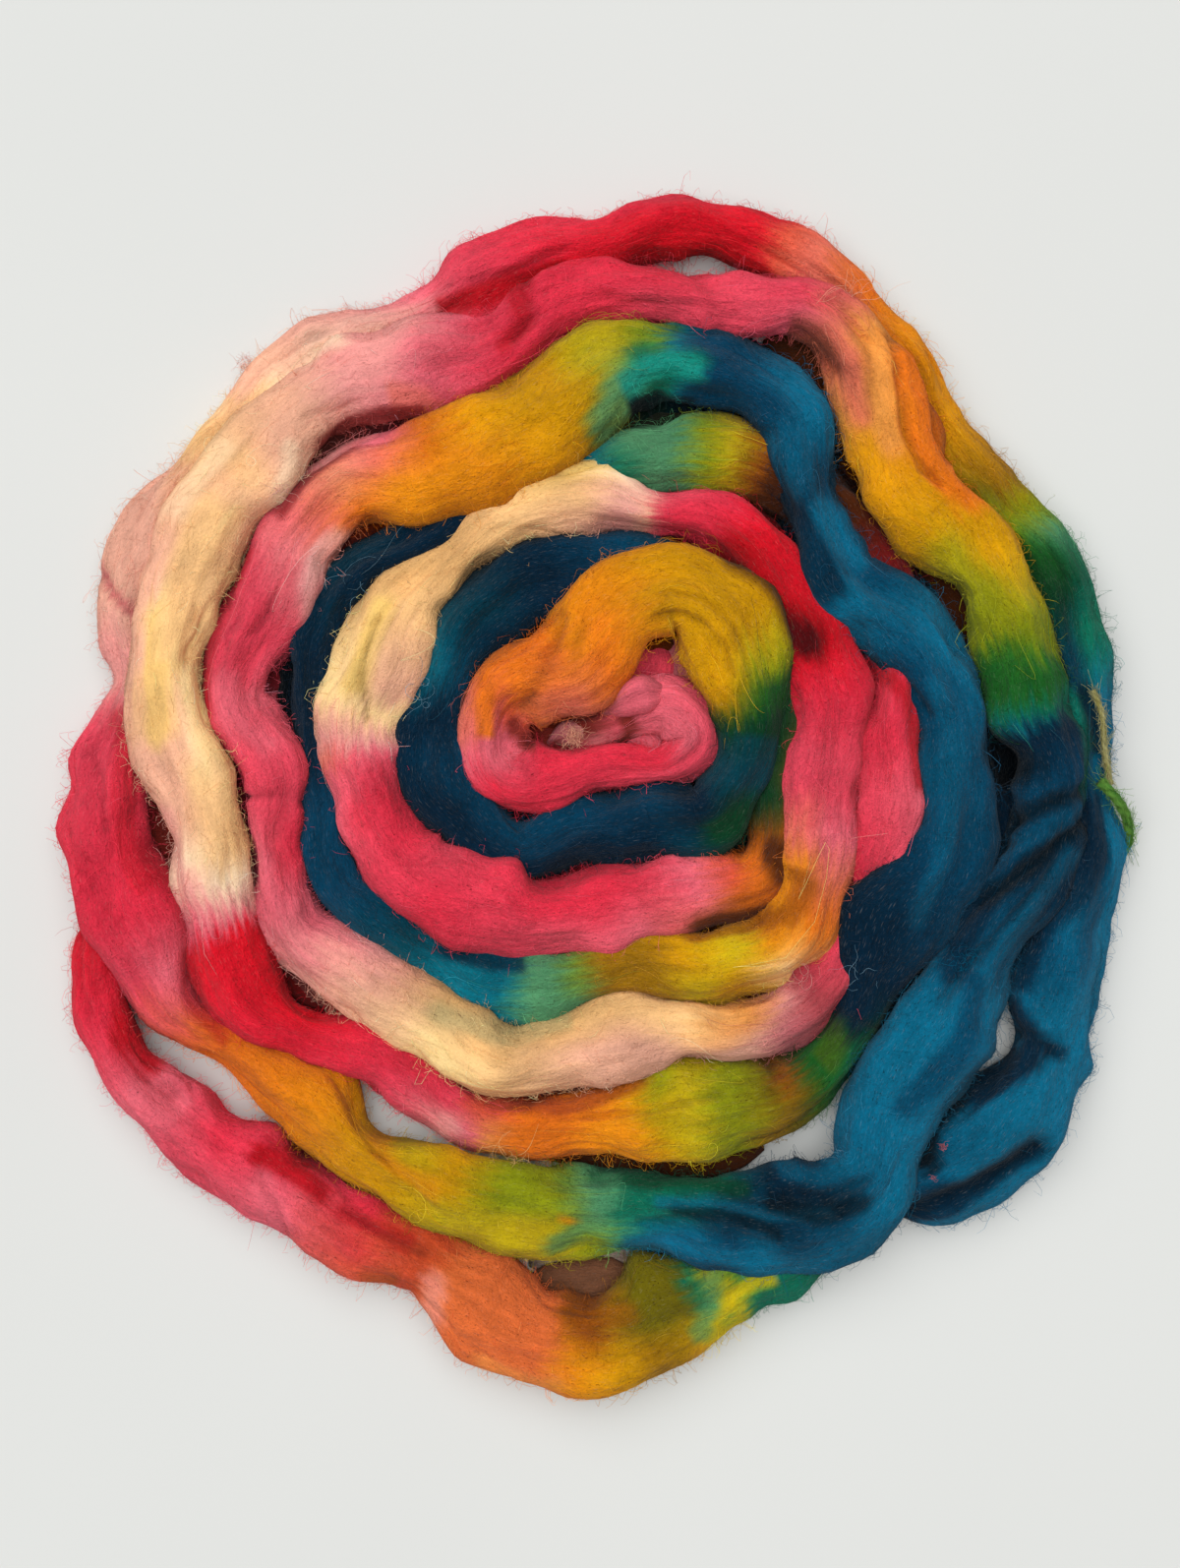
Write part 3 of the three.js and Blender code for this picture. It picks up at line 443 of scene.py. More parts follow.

# Streaks and spots of dye, and strokes of painted shade and painted light: most of the dark ones (brick,
# umber, maroon, dusk, pitch, crimson, navy), in folds, hollows and along edges beside another turn, are
# painted shade, and the bright azure ones on the blue turns are partly painted light. Columns: first and last
# row of their stretch, dye, half width, share, and their line.
STROKES = [
    (0.5, 2, "brick", 2.4, 0.95, [(10, 28), (12, 22), (10, 18)]),
    (6, 9, "brick", 2.6, 0.9, [(-29, 24), (-25, 18), (-17, 15), (-10, 15)]),
    (8, 10.2, "orange", 3.2, 0.9, [(-37, 44), (-41, 34), (-40, 24), (-38, 16)]),
    (8.6, 11, "salmon", 5, 0.5, [(-8, 33), (-16, 34), (-22, 28)]),
    (7.6, 9.4, "salmon", 3, 0.7, [(-46, 36), (-47, 22)]),
    (12.2, 14.6, "umber", 3, 0.8, [(46, 83), (56, 77), (63, 67), (67, 56)]),
    (15.5, 16.9, "petrol", 7, 0.7, [(58, 20), (54, 6)]),
    (16.3, 17.8, "forest", 5.5, 0.9, [(57, -6), (44, -13)]),
    (30.6, 33.4, "umber", 4, 0.9, [(62, -20), (66, -28), (66, -35), (60, -40), (48, -42), (36, -45)]),
    (55.4, 57.6, "navy", 2.4, 0.7, [(-54, -55), (-38, -59), (-24, -60)]),
    (69.8, 71.9, "crimson", 2.8, 0.6, [(99, 44), (108, 36), (112, 22), (113, 6)]),
    (51, 54.2, "rust", 2.8, 0.7, [(69, -22), (73, -32), (67, -42), (50, -46), (33, -50)]),
    (47.6, 49.2, "crimson", 6, 0.8, [(68, 60), (76, 52)]),
    (47.4, 49.2, "dusk", 4.6, 0.75, [(61, 62), (68, 56), (73, 53)]),
    (38.4, 41.4, "custard", 3.6, 0.85, [(-76, 66), (-82, 52), (-84, 38)]),
    (78, 81.2, "straw", 3, 0.45, [(-10, -79), (-34, -85), (-56, -75)]),
    (84.4, 87.2, "crimson", 3.2, 0.7, [(-127, 86), (-133, 74), (-138, 60), (-141, 46), (-139, 30)]),
    (85, 87, "raspberry", 5, 0.35, [(-117, 64), (-123, 52), (-126, 42)]),
    (84, 85.4, "pink", 4.5, 0.7, [(-131, 38), (-126, 24), (-116, 18)]),
    (85.6, 87.8, "fluff", 3.2, 0.6, [(-91, 91), (-98, 84), (-103, 74), (-102, 64)]),
    (87.2, 89, "maroon", 2.2, 0.6, [(-118, 92), (-104, 112), (-88, 122)]),
    (90.6, 92.6, "mint", 5, 0.85, [(0, 130), (5, 140), (14, 147)]),
    (91.2, 93.2, "emerald", 5, 0.85, [(16, 152), (24, 148), (33, 150)]),
    (91.4, 93, "lagoon", 3.6, 0.85, [(10, 143), (17, 149), (26, 151), (34, 148)]),
    (91.4, 93, "pitch", 2.4, 0.9, [(13, 137), (22, 138.5), (31, 137.5)]),
    (65.5, 67, "pitch", 2, 0.8, [(13, 135.5), (22, 137), (31, 136)]),
    (94.2, 97.2, "navy", 4.6, 0.8, [(59, 114), (65, 101), (73, 87), (82, 73)]),
    (94.4, 96, "blue", 5, 0.8, [(66, 136), (70, 122), (70, 110)]),
    (101.8, 103.2, "olive", 3.6, 0.4, [(82, -82), (84, -88), (79, -94)]),
    (105, 107.6, "brick", 2.6, 0.5, [(-30, -109), (-12, -111), (2, -106), (15, -100)]),
    (113.4, 116.2, "custard", 6, 0.75, [(-152, 60), (-155, 42), (-154, 24)]),
    (114.8, 117.4, "tan", 6.5, 0.9, [(-134, 98), (-142, 80), (-146, 62), (-146, 48)]),
    (112.2, 114, "blush", 3.5, 0.6, [(-152, -8), (-148, -24), (-140, -40)]),
    (116.2, 118.2, "cream", 4, 0.4, [(-146, 100), (-139, 110), (-131, 120)]),
    (117.2, 119.6, "cream", 3.6, 0.7, [(-118, 152), (-104, 158), (-92, 161)]),
    (116.4, 118.3, "cream", 2.4, 0.6, [(-112, 99), (-111, 107), (-108, 116), (-108, 122)]),
    (118.6, 120.6, "salmon", 4, 0.6, [(-96, 133), (-78, 139), (-62, 137)]),
    (156.2, 158.8, "crimson", 3.2, 0.85, [(-64, 169), (-43, 175), (-28, 180), (-14, 185)]),
    (117.3, 120.4, "maroon", 2.1, 0.75, [(-98, 124), (-88, 130.5), (-76, 134), (-62, 133.5)]),
    (118.9, 121.4, "crimson", 2.6, 0.5, [(-24, 185), (-28, 174), (-26, 165), (-33, 157)]),
    (118.2, 121, "crimson", 2.6, 0.4, [(-52, 172), (-36, 177), (-22, 184)]),
    (159, 161.4, "crimson", 4, 0.85, [(16, 188), (30, 193), (46, 190), (56, 184)]),
    (123.8, 125.6, "umber", 3, 0.5, [(66, 160), (70, 164), (77, 160), (83, 150)]),
    (124.6, 127, "salmon", 3.6, 0.75, [(87, 152), (89, 141), (92, 132)]),
    (125, 126.8, "apricot", 4.5, 0.9, [(98, 154), (99, 138), (102, 122)]),
    (124.8, 127.8, "orange", 5.5, 0.95, [(109, 152), (112, 136), (117, 120), (124, 110), (130, 105)]),
    (126.6, 129.2, "lime", 5, 0.4, [(122, 84), (134, 72), (146, 62)]),
    (129.6, 131.4, "emerald", 3.6, 0.8, [(168, 36), (174, 26), (177, 12), (176, 2)]),
    (129.6, 131.2, "pitch", 6.5, 0.95, [(141, 15), (148, 10)]),
    (167.4, 169.4, "emerald", 2.4, 0.8, [(165, 36), (170, 28), (174, 18)]),
    (167.4, 169.4, "pitch", 2, 0.6, [(172, 38), (175, 28), (177, 16)]),
    (169, 172.4, "navy", 3.6, 0.75, [(175, -4), (177, -22), (168, -38), (157, -48), (151, -66)]),
    (130.4, 132.8, "pitch", 3, 0.45, [(138, -14), (147, -8), (158, -3), (172, 2)]),
    (131, 133.6, "pitch", 3.4, 0.5, [(133, -38), (146, -28), (160, -18), (174, -9)]),
    (132.2, 134.2, "navy", 4, 0.8, [(134, -38), (128, -50), (125, -61)]),
    (130.6, 133.4, "blue", 2.6, 0.4, [(142, -20), (155, -12), (170, -5)]),
    (131.6, 135, "azure", 3.4, 0.45, [(130, -70), (144, -50), (158, -32), (170, -20)]),
    (133.2, 136.4, "royal", 3.6, 0.7, [(130, -58), (131, -74), (122, -92), (108, -110)]),
    (94.6, 96.2, "azure", 3.2, 0.7, [(78, 100), (86, 88), (98, 76)]),
    (97.4, 102, "azure", 3, 0.4, [(118, 38), (124, 18), (124, -4), (120, -24), (112, -44)]),
    (171.6, 173.4, "navy", 2.8, 0.85, [(148, -76), (153, -87), (163, -91)]),
    (172, 174.4, "navy", 3.8, 0.9, [(152, -93), (143, -99), (132, -106)]),
    (173.2, 174.8, "pitch", 4, 0.9, [(126, -109), (118, -118), (116, -128)]),
    (171.6, 176, "navy", 5.6, 0.97, [(104, -151), (114, -147), (124, -142.5)]),
    (171.6, 175.2, "navy", 3.6, 0.95, [(122, -143), (136, -137), (154, -125)]),
    (172.4, 175.5, "azure", 1.8, 0.8, [(116, -155), (127, -152), (140, -144), (152, -136)]),
    (137.2, 139.8, "forest", 3, 0.7, [(2, -134), (24, -135), (50, -138)]),
    (137.4, 139.8, "pitch", 2.6, 0.6, [(28, -146), (46, -147), (66, -154)]),
    (137, 139.8, "azure", 3, 0.8, [(12, -159), (32, -157), (60, -165)]),
    (136.4, 139.4, "azure", 2, 0.6, [(22, -143), (40, -142), (60, -147), (80, -146)]),
    (138.6, 140.6, "mint", 4, 0.7, [(4, -140), (-2, -150), (-14, -158)]),
    (135.6, 137.6, "pitch", 3, 0.6, [(58, -142), (76, -146), (92, -142)]),
    (135.6, 137.6, "azure", 3, 0.6, [(66, -134), (80, -134), (92, -128)]),
    (139.6, 140.8, "gold", 1.6, 0.9, [(-12, -149), (-9, -150)]),
    (140.4, 142.6, "amber", 3, 0.6, [(-78, -122), (-70, -132), (-58, -138)]),
    (176.6, 178.6, "yellow", 1.9, 0.85, [(65, -169.5), (55, -171), (47, -176), (41, -187)]),
    (177, 179, "mint", 2.6, 0.6, [(42, -166), (40, -178), (36, -189)]),
    (178.2, 180.8, "rust", 3.2, 0.5, [(-8, -183), (0, -184), (10, -182)]),
    (179.4, 181.6, "ember", 5, 0.6, [(-20, -190), (-34, -180), (-42, -190)]),
    (179.6, 181.4, "apricot", 3.6, 0.5, [(-16, -208), (-30, -207), (-40, -202)]),
    (180.8, 182.2, "blush", 3.6, 0.6, [(-58, -172), (-58, -184)]),
    (181.2, 184.4, "crimson", 3.2, 0.45, [(-90, -146), (-78, -152), (-68, -157)]),
    (182.2, 183.4, "rust", 4, 0.5, [(-80, -172), (-66, -174)]),
    (183.4, 185.2, "crimson", 3, 0.8, [(-119, -127), (-108, -133), (-97, -141)]),
    (183.4, 184.6, "pink", 3.5, 0.75, [(-118, -136), (-112, -152)]),
    (185.4, 186.6, "pink", 6, 0.75, [(-162, -108), (-148, -110)]),
    (186, 188, "crimson", 4, 0.8, [(-167, -70), (-167, -86), (-159, -96)]),
    (144.2, 146.8, "crimson", 2.6, 0.4, [(-132, -86), (-142, -74), (-146, -58)]),
    (145.8, 149.8, "crimson", 3.6, 0.35, [(-167, 26), (-165, 6), (-165, -18), (-160, -30)]),
    (149.4, 151.2, "rose", 1.6, 0.4, [(-176, 79), (-172, 72), (-167, 67), (-161, 62)]),
    (151.6, 153.4, "tan", 4, 0.4, [(-146, 122), (-137, 132), (-130, 140)]),
]

FIBRE_LOWEST = 0.1  # height over the ground
WISP_LOWEST = 0.2
WISP_POINTS = 12
WISP_THICKNESS = 0.9

# Loose clumps of fibre: x, y, z, spread, count, length of a fibre, curl, way they point (or none), and dye.
WISPS = [
    (-9, 20.5, 13, 2.6, 110, 5, 2.2, (0, 0), "peach"),
    (-122, 149, 13, 2.8, 90, 4, 2.6, (0, 0), "fluff"),
    (-126, 154, 8, 2.2, 60, 4, 2.6, (0, 0), "fluff"),
    (-108, 118, 24, 1.6, 24, 5, 1.5, (0.3, 0), "fluff"),
    (-111, 106, 24, 1.6, 24, 5, 1.5, (0.3, -0.3), "fluff"),
    (-86, 75, 17, 4.5, 5, 24, 5, (0, 0), "mist"),
    (-62, 38, 20, 3.5, 5, 14, 4, (0, 0), "mist"),
    (92, -65, 20, 3.5, 7, 9, 2, (0, 0), "mist"),
    (88, -127, 20, 2.5, 20, 9, 3, (0, 0), "mist"),
    (-158, -27, 14, 3, 14, 14, 3, (0, 0), "blush"),
    (112, -10, 18, 2, 8, 13, 2.5, (0.5, 0), "blush"),
    (88, 174, 22, 3, 18, 9, 2.5, (0.4, 0.4), "peach"),
    (128, -58, 22, 4, 30, 8, 3, (0, 0), "blue"),
    (-78, -150, 8, 6, 60, 10, 1.5, (0, 0), "salmon"),
    (72, -64, 20, 3, 8, 12, 2.5, (0, 0), "fluff"),
    (121, -123, 22, 0.9, 26, 2, 3, (0, 0), "mauve"),
    (117.5, -134, 21, 0.8, 14, 2, 3, (0, 0), "mauve"),
    (-23, 192, 20, 1.5, 14, 7, 2.5, (0, 0), "pink"),
    (-30, -130, 16, 4, 30, 8, 2, (0, 0), "tan"),
    (-160, 6, 18, 4, 20, 9, 2, (0, 0), "peach"),
]


def dye_property(name, colour, words):
    """A colour that a user can change, for one dye."""
    return FloatVectorProperty(
        name=name.capitalize(), description=words, default=colour, size=3, min=0, max=1, subtype="COLOR_GAMMA"
    )


class RovingDyes(bpy.types.PropertyGroup):
    """The dyes of the wool and of its tie."""

    __annotations__ = {name: dye_property(name, colour, words) for name, colour, words in DYES}


class RovingSizes(bpy.types.PropertyGroup):
    """How finely the strand and its fibres are made."""

    ring_step: FloatProperty(
        name="Ring step", description="Distance between two sections of the strand",
        default=2.8 * MM, min=1.0 * MM, unit="LENGTH",
    )
    sides: IntProperty(
        name="Sides", description="Points round one section of the strand", default=80, min=24
    )
    lying_fibres: IntProperty(
        name="Lying fibres", description="Fine fibres that lie along the strand", default=8800, min=0
    )
    edge_fibres: IntProperty(
        name="Edge fibres", description="Fine fibre ends that stand out at its edges", default=13500, min=0
    )
    curled_fibres: IntProperty(
        name="Curled fibres", description="Long stray fibres in curls and hooks", default=300, min=0
    )
    fibre_width: FloatProperty(
        name="Fibre width", description="Thickness of one fibre", default=0.15 * MM, min=0.02 * MM,
        unit="LENGTH",
    )


class RovingStage(bpy.types.PropertyGroup):
    """Camera, floor and lights."""

    camera_height: FloatProperty(
        name="Camera height", description="Height of the camera over the wool", default=0.62,
        min=0.2, unit="LENGTH",
    )
    seen_length: FloatProperty(
        name="Seen length", description="Long side of what the camera sees", default=0.558,
        min=0.1, unit="LENGTH",
    )
    sky: FloatProperty(
        name="Sky light", description="Strength of the even light from all round", default=0.2, min=0
    )
    key_strength: FloatProperty(
        name="Key light", description="Strength of the wide soft light from above", default=3.05, min=0
    )
    key_spread: FloatProperty(
        name="Key spread", description="How wide the soft light is", default=1.6, min=0, unit="ROTATION"
    )
    floor_colour: FloatVectorProperty(
        name="Floor", description="Colour of the pale floor", default=(0.69, 0.70, 0.68),
        size=3, min=0, max=1, subtype="COLOR",
    )


# ---------------------------------------------------------------- smooth noise over the strand's skin

NOISE_ROWS = 1024  # after which a noise starts again

# A noise is a list of waves: strength, length along the strand in millimetres, cells round it, and seed.
# One with a single cell changes along the strand only.
DRIFT = [(2.6, 95, 1, 3), (1.2, 37, 1, 4)]  # how far the lobes have turned round the section, radians
LOBED = [(0.9, 52, 4, 5)]  # share of a lobe's height
FOLDED = [(1.8, 33, 3, 6)]  # share of a fold's depth
PUFFS = [(2.5, 24, 6, 7), (1.8, 12, 9, 8), (0.7, 7, 17, 9), (0.3, 9, 36, 10)]  # millimetres outwards
SWELLING = [(0.06, 22, 1, 11), (0.04, 10, 1, 12)]  # share of the width
SWAY = [(1.3, 27, 1, 13), (0.8, 12, 1, 14)]  # millimetres sideways
CREASE_SWAY = [(0.7, 6, 1, 15)]  # millimetres to the side of a crease's line
STREAKS = [(0.9, 16, 34, 21), (0.8, 9, 70, 22), (4, 30, 5, 23)]  # millimetres that a dye has crept along
BLOTCHES = [(0.6, 30, 5, 24), (0.25, 12, 11, 27)]  # share of the outer dye
UNEVEN = [(0.06, 20, 7, 25), (0.04, 18, 40, 26)]  # share of the colour's strength
RAGGED = [(0.35, 16, 40, 28), (0.3, 19, 15, 29)]  # share of a stroke's half width
YARN_SWELLING = [(0.05, 2.5, 5, 41)]  # share of a yarn's radius
YARN_MIX = [(0.5, 5, 6, 42)]  # share of its first dye


def smooth_step(t):
    """From 0 to 1 as t does, level at both ends."""
    return t * t * (3 - 2 * t)


def lattice_noise(along, around, cells, seed):
    """Heights from -1 to 1: random ones on a lattice, joined by smooth steps.

    along counts lattice rows. around runs from 0 to 1 once round the strand, which has that many cells, so
    the pattern closes on itself.
    """
    heights = np.random.default_rng(seed).uniform(-1, 1, (NOISE_ROWS, cells))
    i = np.floor(along).astype(int)
    j = np.floor(around * cells).astype(int)
    u = smooth_step(along - i)
    v = smooth_step(around * cells - j)
    i0, i1, j0, j1 = i % NOISE_ROWS, (i + 1) % NOISE_ROWS, j % cells, (j + 1) % cells
    near = heights[i0, j0] * (1 - v) + heights[i0, j1] * v
    far = heights[i1, j0] * (1 - v) + heights[i1, j1] * v
    return near * (1 - u) + far * u


def noise(waves, s, around=0.0):
    """Sum of a noise's waves at lengths along the strand and places round it."""
    parts = [
        strength * lattice_noise(s / length, around, cells, seed) for strength, length, cells, seed in waves
    ]
    return sum(parts)


def share_round(angle):
    """From 0 to 1 once round a section, starting at its underside."""
    return (angle + np.pi / 2) / (2 * np.pi)


# ---------------------------------------------------------------- the strand as a function

LUMP_WAVES = [(1.0, 17, 2.1, 0), (0.8, 29, 1.3, 1)]  # strength, length over 2 pi, turn a corner, start
HOLLOW_WAVES = [(0.45, 120, 0), (0.2, 47, 2)]  # how the hollow wanders: strength, length over 2 pi, start
LOBES = 2.5  # half waves round half a section
LOBE_HEIGHT = 1.5
LOBE_ROUNDNESS = 0.6
LOBE_LEVEL = 0.75  # share of a lobe's height that lies under the plain section
FOLD_LINES = 1.5  # half waves of the narrow creases between the lobes
FOLD_DEPTH = 1.1
FOLD_DRIFT = 1.4
FOLD_WIDTH = 0.1
CREASED_ABOVE = -0.3  # sine of the angle under which no listed crease reaches
DYE_CONTRAST = 0.72  # how steeply the inner dye gives way to the outer one
FULL_FOLDS_WIDTH = 24.0  # width from which a strand's folds are at their full height
TOUCH_ROWS = 3  # that a touch reaches along the strand, to each side of its row
HAND_CREASE_SHARE = 0.8  # of its given depth that a crease gets
CREASE_SHADE = (0.06, 0.3)  # painted shade in a crease: for a millimetre of depth, and at most
STROKE_EDGE = (1.9, 1.5)  # where a stroke of dye ends and how wide its soft edge is, in half widths
SKIN_BUNCHING = 0.055  # how far a section's points move from its underside to its top, in turns
LEAST = 1e-6  # keeps a division from being by nothing


def hermite(lengths, values, s):
    """Cubic through the values at those lengths; its slope at each is the chord between its neighbours."""
    last = len(lengths) - 1
    count = np.arange(len(lengths))
    after = np.minimum(count + 1, last)
    before = np.maximum(count - 1, 0)
    slopes = (values[after] - values[before]) / (lengths[after] - lengths[before])[:, None]
    i = np.clip(np.searchsorted(lengths, s) - 1, 0, last - 1)
    span = (lengths[i + 1] - lengths[i])[:, None]
    t = (s[:, None] - lengths[i][:, None]) / span
    return (
        (1 + 2 * t) * (1 - t) ** 2 * values[i]
        + t * (1 - t) ** 2 * span * slopes[i]
        + t * t * (3 - 2 * t) * values[i + 1]
        + t * t * (t - 1) * span * slopes[i + 1]
    )


class Strand:
    """A strand through rows of (x, y, width, lift), in millimetres, with its dyes.

    detail scales its folds and flatness its thickness. The touches, creases and strokes are laid out as in
    the lists of those names.
    """

    SAMPLE = 1.0  # millimetres between two stored samples

    def __init__(
        self, rows, dyes_along, dyes, detail=1.0, flatness=1.0, touches=(), creases=(), strokes=()
    ):
        rows = np.array(rows, float)
        chords = np.hypot(*np.diff(rows[:, :2], axis=0).T)
        lengths = np.concatenate([[0], np.cumsum(chords)])
        self.row_lengths = lengths
        self.length = lengths[-1]
        self.detail, self.flatness = detail, flatness
        self.touches, self.creases, self.strokes = touches, creases, strokes
        self.s = np.linspace(0, self.length, int(self.length / self.SAMPLE) + 2)
        self.columns = hermite(lengths, rows, self.s)
        ahead = hermite(lengths, rows, np.minimum(self.s + RING_STEP / 2, self.length))
        behind = hermite(lengths, rows, np.maximum(self.s - RING_STEP / 2, 0))
        run = ahead[:, :2] - behind[:, :2]
        self.heading = np.unwrap(np.arctan2(run[:, 1], run[:, 0]))
        on = np.minimum(self.s + RING_STEP, self.length)
        back = np.maximum(self.s - RING_STEP, 0)
        turn = np.interp(on, self.s, self.heading) - np.interp(back, self.s, self.heading)
        self.bend = turn / (on - back)
        self.beside = {1: np.zeros_like(self.s), -1: np.zeros_like(self.s)}
        self.dyes = dyes
        self.dye_s = self.length_at([row[0] for row in dyes_along])
        self.inner = np.array([dyes[row[1]] for row in dyes_along])
        self.outer = np.array([dyes[row[-1]] for row in dyes_along])

    def length_at(self, row):
        """Length along the strand at a place counted in rows."""
        return np.interp(row, np.arange(len(self.row_lengths)), self.row_lengths)

    def lumps(self, s, angle):
        """Slow waves at the section's corners, joined round the section by a cubic through four of them."""
        place = angle * SECTION_SIDES / (2 * np.pi) - 0.5
        corner = np.floor(place)
        t = place - corner

        def at(step):
            c = (corner + step) % SECTION_SIDES
            waves = [high * np.sin(s / length + turn * c + start) for high, length, turn, start in LUMP_WAVES]
            return sum(waves)

        a, b, c, d = at(-1), at(0), at(1), at(2)
        return b + 0.5 * t * (c - a + t * (2 * a - 5 * b + 4 * c - d + t * (3 * (b - c) + d - a)))

    def folds(self, s, angle):
        """Height of the wool's own relief, in millimetres: a few broad lobes and narrow folds that come and
        go and wander along the strand, puffs of three sizes, and a fine felted unevenness."""
        around = share_round(angle)
        drift = noise(DRIFT, s)
        lobe = np.abs(np.sin(LOBES * angle + drift)) ** LOBE_ROUNDNESS - LOBE_LEVEL
        lobed = np.clip(0.3 + noise(LOBED, s, around), 0, 1)
        fold = np.exp(-((np.sin(FOLD_LINES * angle - FOLD_DRIFT * drift) / FOLD_WIDTH) ** 2))
        folded = np.clip(noise(FOLDED, s, around) - 0.2, 0, 1)
        relief = LOBE_HEIGHT * lobe * lobed - FOLD_DEPTH * fold * folded
        return self.detail * (relief + noise(PUFFS, s, around))

    def look_beside(self, reach=7.0, apart=60.0, skip=4):
        """Stores how near another turn lies to each side: 0 where it's further off than reach, 1 where it
        touches. Places nearer than apart along the strand aren't another turn."""
        s, heading = self.s[::skip], self.heading[::skip] + np.pi / 2
        x, y, half = self.columns[::skip, X], self.columns[::skip, Y], self.columns[::skip, WIDTH] / 2
        same = np.abs(s[:, None] - s) < apart
        for side in self.beside:
            edge_x = (x + side * np.cos(heading) * half)[:, None]
            edge_y = (y + side * np.sin(heading) * half)[:, None]
            gap = np.where(same, np.inf, np.hypot(edge_x - x, edge_y - y) - half).min(axis=1)
            self.beside[side] = np.interp(self.s, s, np.clip(1 - gap / reach, 0, 1))

    def shade(self, s, angle):
        """Painted shade: how much darker the wool is painted low down beside another turn."""
        outer, inner = (np.interp(s, self.s, self.beside[side]) for side in (1, -1))
        low = np.clip(1 - np.sin(angle) / SHADE_TOP, 0, 1) ** SHADE_FALL
        return SHADE_DEPTH * low * np.where(np.cos(angle) > 0, outer, inner)

    def stretch(self, s, first, last):
        """Indexes of the places between two rows."""
        start, end = self.length_at([first, last])
        return np.nonzero((s > start) & (s < end))

    def crease_depth(self, s, x, y):
        """Depth of the listed creases at places over the ground."""
        depth = np.zeros_like(x)
        for first, last, half_width, deepest, line in self.creases:
            at = self.stretch(s, first, last)
            far = line_distance(x[at], y[at], line) + noise(CREASE_SWAY, s[at])
            depth[at] += HAND_CREASE_SHARE * deepest * np.exp(-((far / half_width) ** 2))
        return depth

    def press(self, s, x, y, across, side, up, reach, rise):
        """Moves the section's reach and rise in or out round each touch, less with the distance from it."""
        for row, touch_x, touch_y, spread, push, lift_by in self.touches:
            at = self.stretch(s, row - TOUCH_ROWS, row + TOUCH_ROWS)
            here_x = x[at] + np.cos(across[at]) * reach[at] - touch_x
            here_y = y[at] + np.sin(across[at]) * reach[at] - touch_y
            weight = np.exp(-(here_x ** 2 + here_y ** 2) / spread ** 2)
            reach[at] += push * side[at] * weight
            rise[at] += lift_by * np.maximum(up[at], 0) * weight

    def section(self, s, angle):
        """The plain section, before its folds: |cos| and |sin| to a power, with lumps and one hollow on top,
        drawn in on the inside of a bend and pressed in or swollen at the touches."""
        x, y, width, lift = (np.interp(s, self.s, self.columns[:, column]) for column in (X, Y, WIDTH, LIFT))
        across = np.interp(s, self.s, self.heading) + np.pi / 2
        bend = np.interp(s, self.s, self.bend)
        thick = np.minimum(THICK_BASE + THICK_PER_WIDTH * width, width) * self.flatness
        width = width * (1 + self.detail * noise(SWELLING, s))
        to_end = np.minimum(s, self.length - s)
        rounding = np.sqrt(np.clip((to_end + 1) / END_ROUNDING, 0, 1))
        cos, sin = np.cos(angle), np.sin(angle)
        side = np.sign(cos) * np.abs(cos) ** SQUARENESS
        up = np.sign(sin) * np.abs(sin) ** SQUARENESS
        lump = (1 + LUMP * self.lumps(s, angle)) * rounding
        hollow = sum(strength * np.sin(s / length + start) for strength, length, start in HOLLOW_WAVES)
        groove = 1 - np.where(up > 0, GROOVE * np.exp(-(((side - hollow) / GROOVE_WIDTH) ** 2)), 0)
        radius = INSIDE_OF_BEND / np.maximum(np.abs(bend), LEAST)
        half = np.where(bend * side > 0, np.minimum(width / 2, radius), width / 2)
        reach = half * side * lump + self.detail * noise(SWAY, s)
        rise = thick / 2 * up * lump * groove
        self.press(s, x, y, across, side, up, reach, rise)
        return SimpleNamespace(
            x=x + np.cos(across) * reach, y=y + np.sin(across) * reach, z=lift + thick * (0.5 - SINK) + rise,
            across=across, half=half, thick=thick, fading=np.minimum(1, width / FULL_FOLDS_WIDTH) * rounding,
        )

    def surface(self, s, angle, proud=0.0):
        """Points of the strand's skin, millimetres in the part's frame: the plain section with the folds and
        the creases laid on along its outward direction, flat where it meets z = 0."""
        s, angle = np.broadcast_arrays(s, angle)
        plain = self.section(s, angle)
        out_side, out_up = np.cos(angle) * plain.thick / 2, np.sin(angle) * plain.half
        scale = np.maximum(np.hypot(out_side, out_up), LEAST)
        crease = self.crease_depth(s, plain.x, plain.y) * (np.sin(angle) > CREASED_ABOVE)
        height = (self.folds(s, angle) - crease) * plain.fading + proud
        sideways = height * out_side / scale
        x = plain.x + np.cos(plain.across) * sideways - BOX_MIDDLE[0]
        y = plain.y + np.sin(plain.across) * sideways - BOX_MIDDLE[1]
        return np.stack([x, y, np.maximum(plain.z + height * out_up / scale, 0)], axis=-1)

    def dye(self, s, angle, ahead=0.0):
        """The colour at a place of the skin: between the inner and the outer dye, with edges that run along
        the fibres in uneven streaks, the strokes laid over it, and painted shade low down beside another turn
        and in creases. ahead moves the place along the strand."""
        s, angle = np.broadcast_arrays(s, angle)
        around = share_round(angle)
        place = s + ahead + noise(STREAKS, s, around)
        share = np.clip(0.5 + DYE_CONTRAST * (np.cos(angle) + noise(BLOTCHES, s, around)), 0, 1)
        share = smooth_step(share)[..., None]
        inner, outer = (
            np.stack([np.interp(place, self.dye_s, channel) for channel in colours.T], axis=-1)
            for colours in (self.inner, self.outer)
        )
        colour = self.painted(s, angle, inner * (1 - share) + outer * share)
        # painted shade low down beside another turn, less on pale wool
        shade = self.shade(s, angle) * (1 - SHADE_LESS_ON_PALE * colour.mean(axis=-1))
        strength = (1 + noise(UNEVEN, s, around)) * (1 - shade)
        return linear(np.clip(colour * strength[..., None], 0, 1))

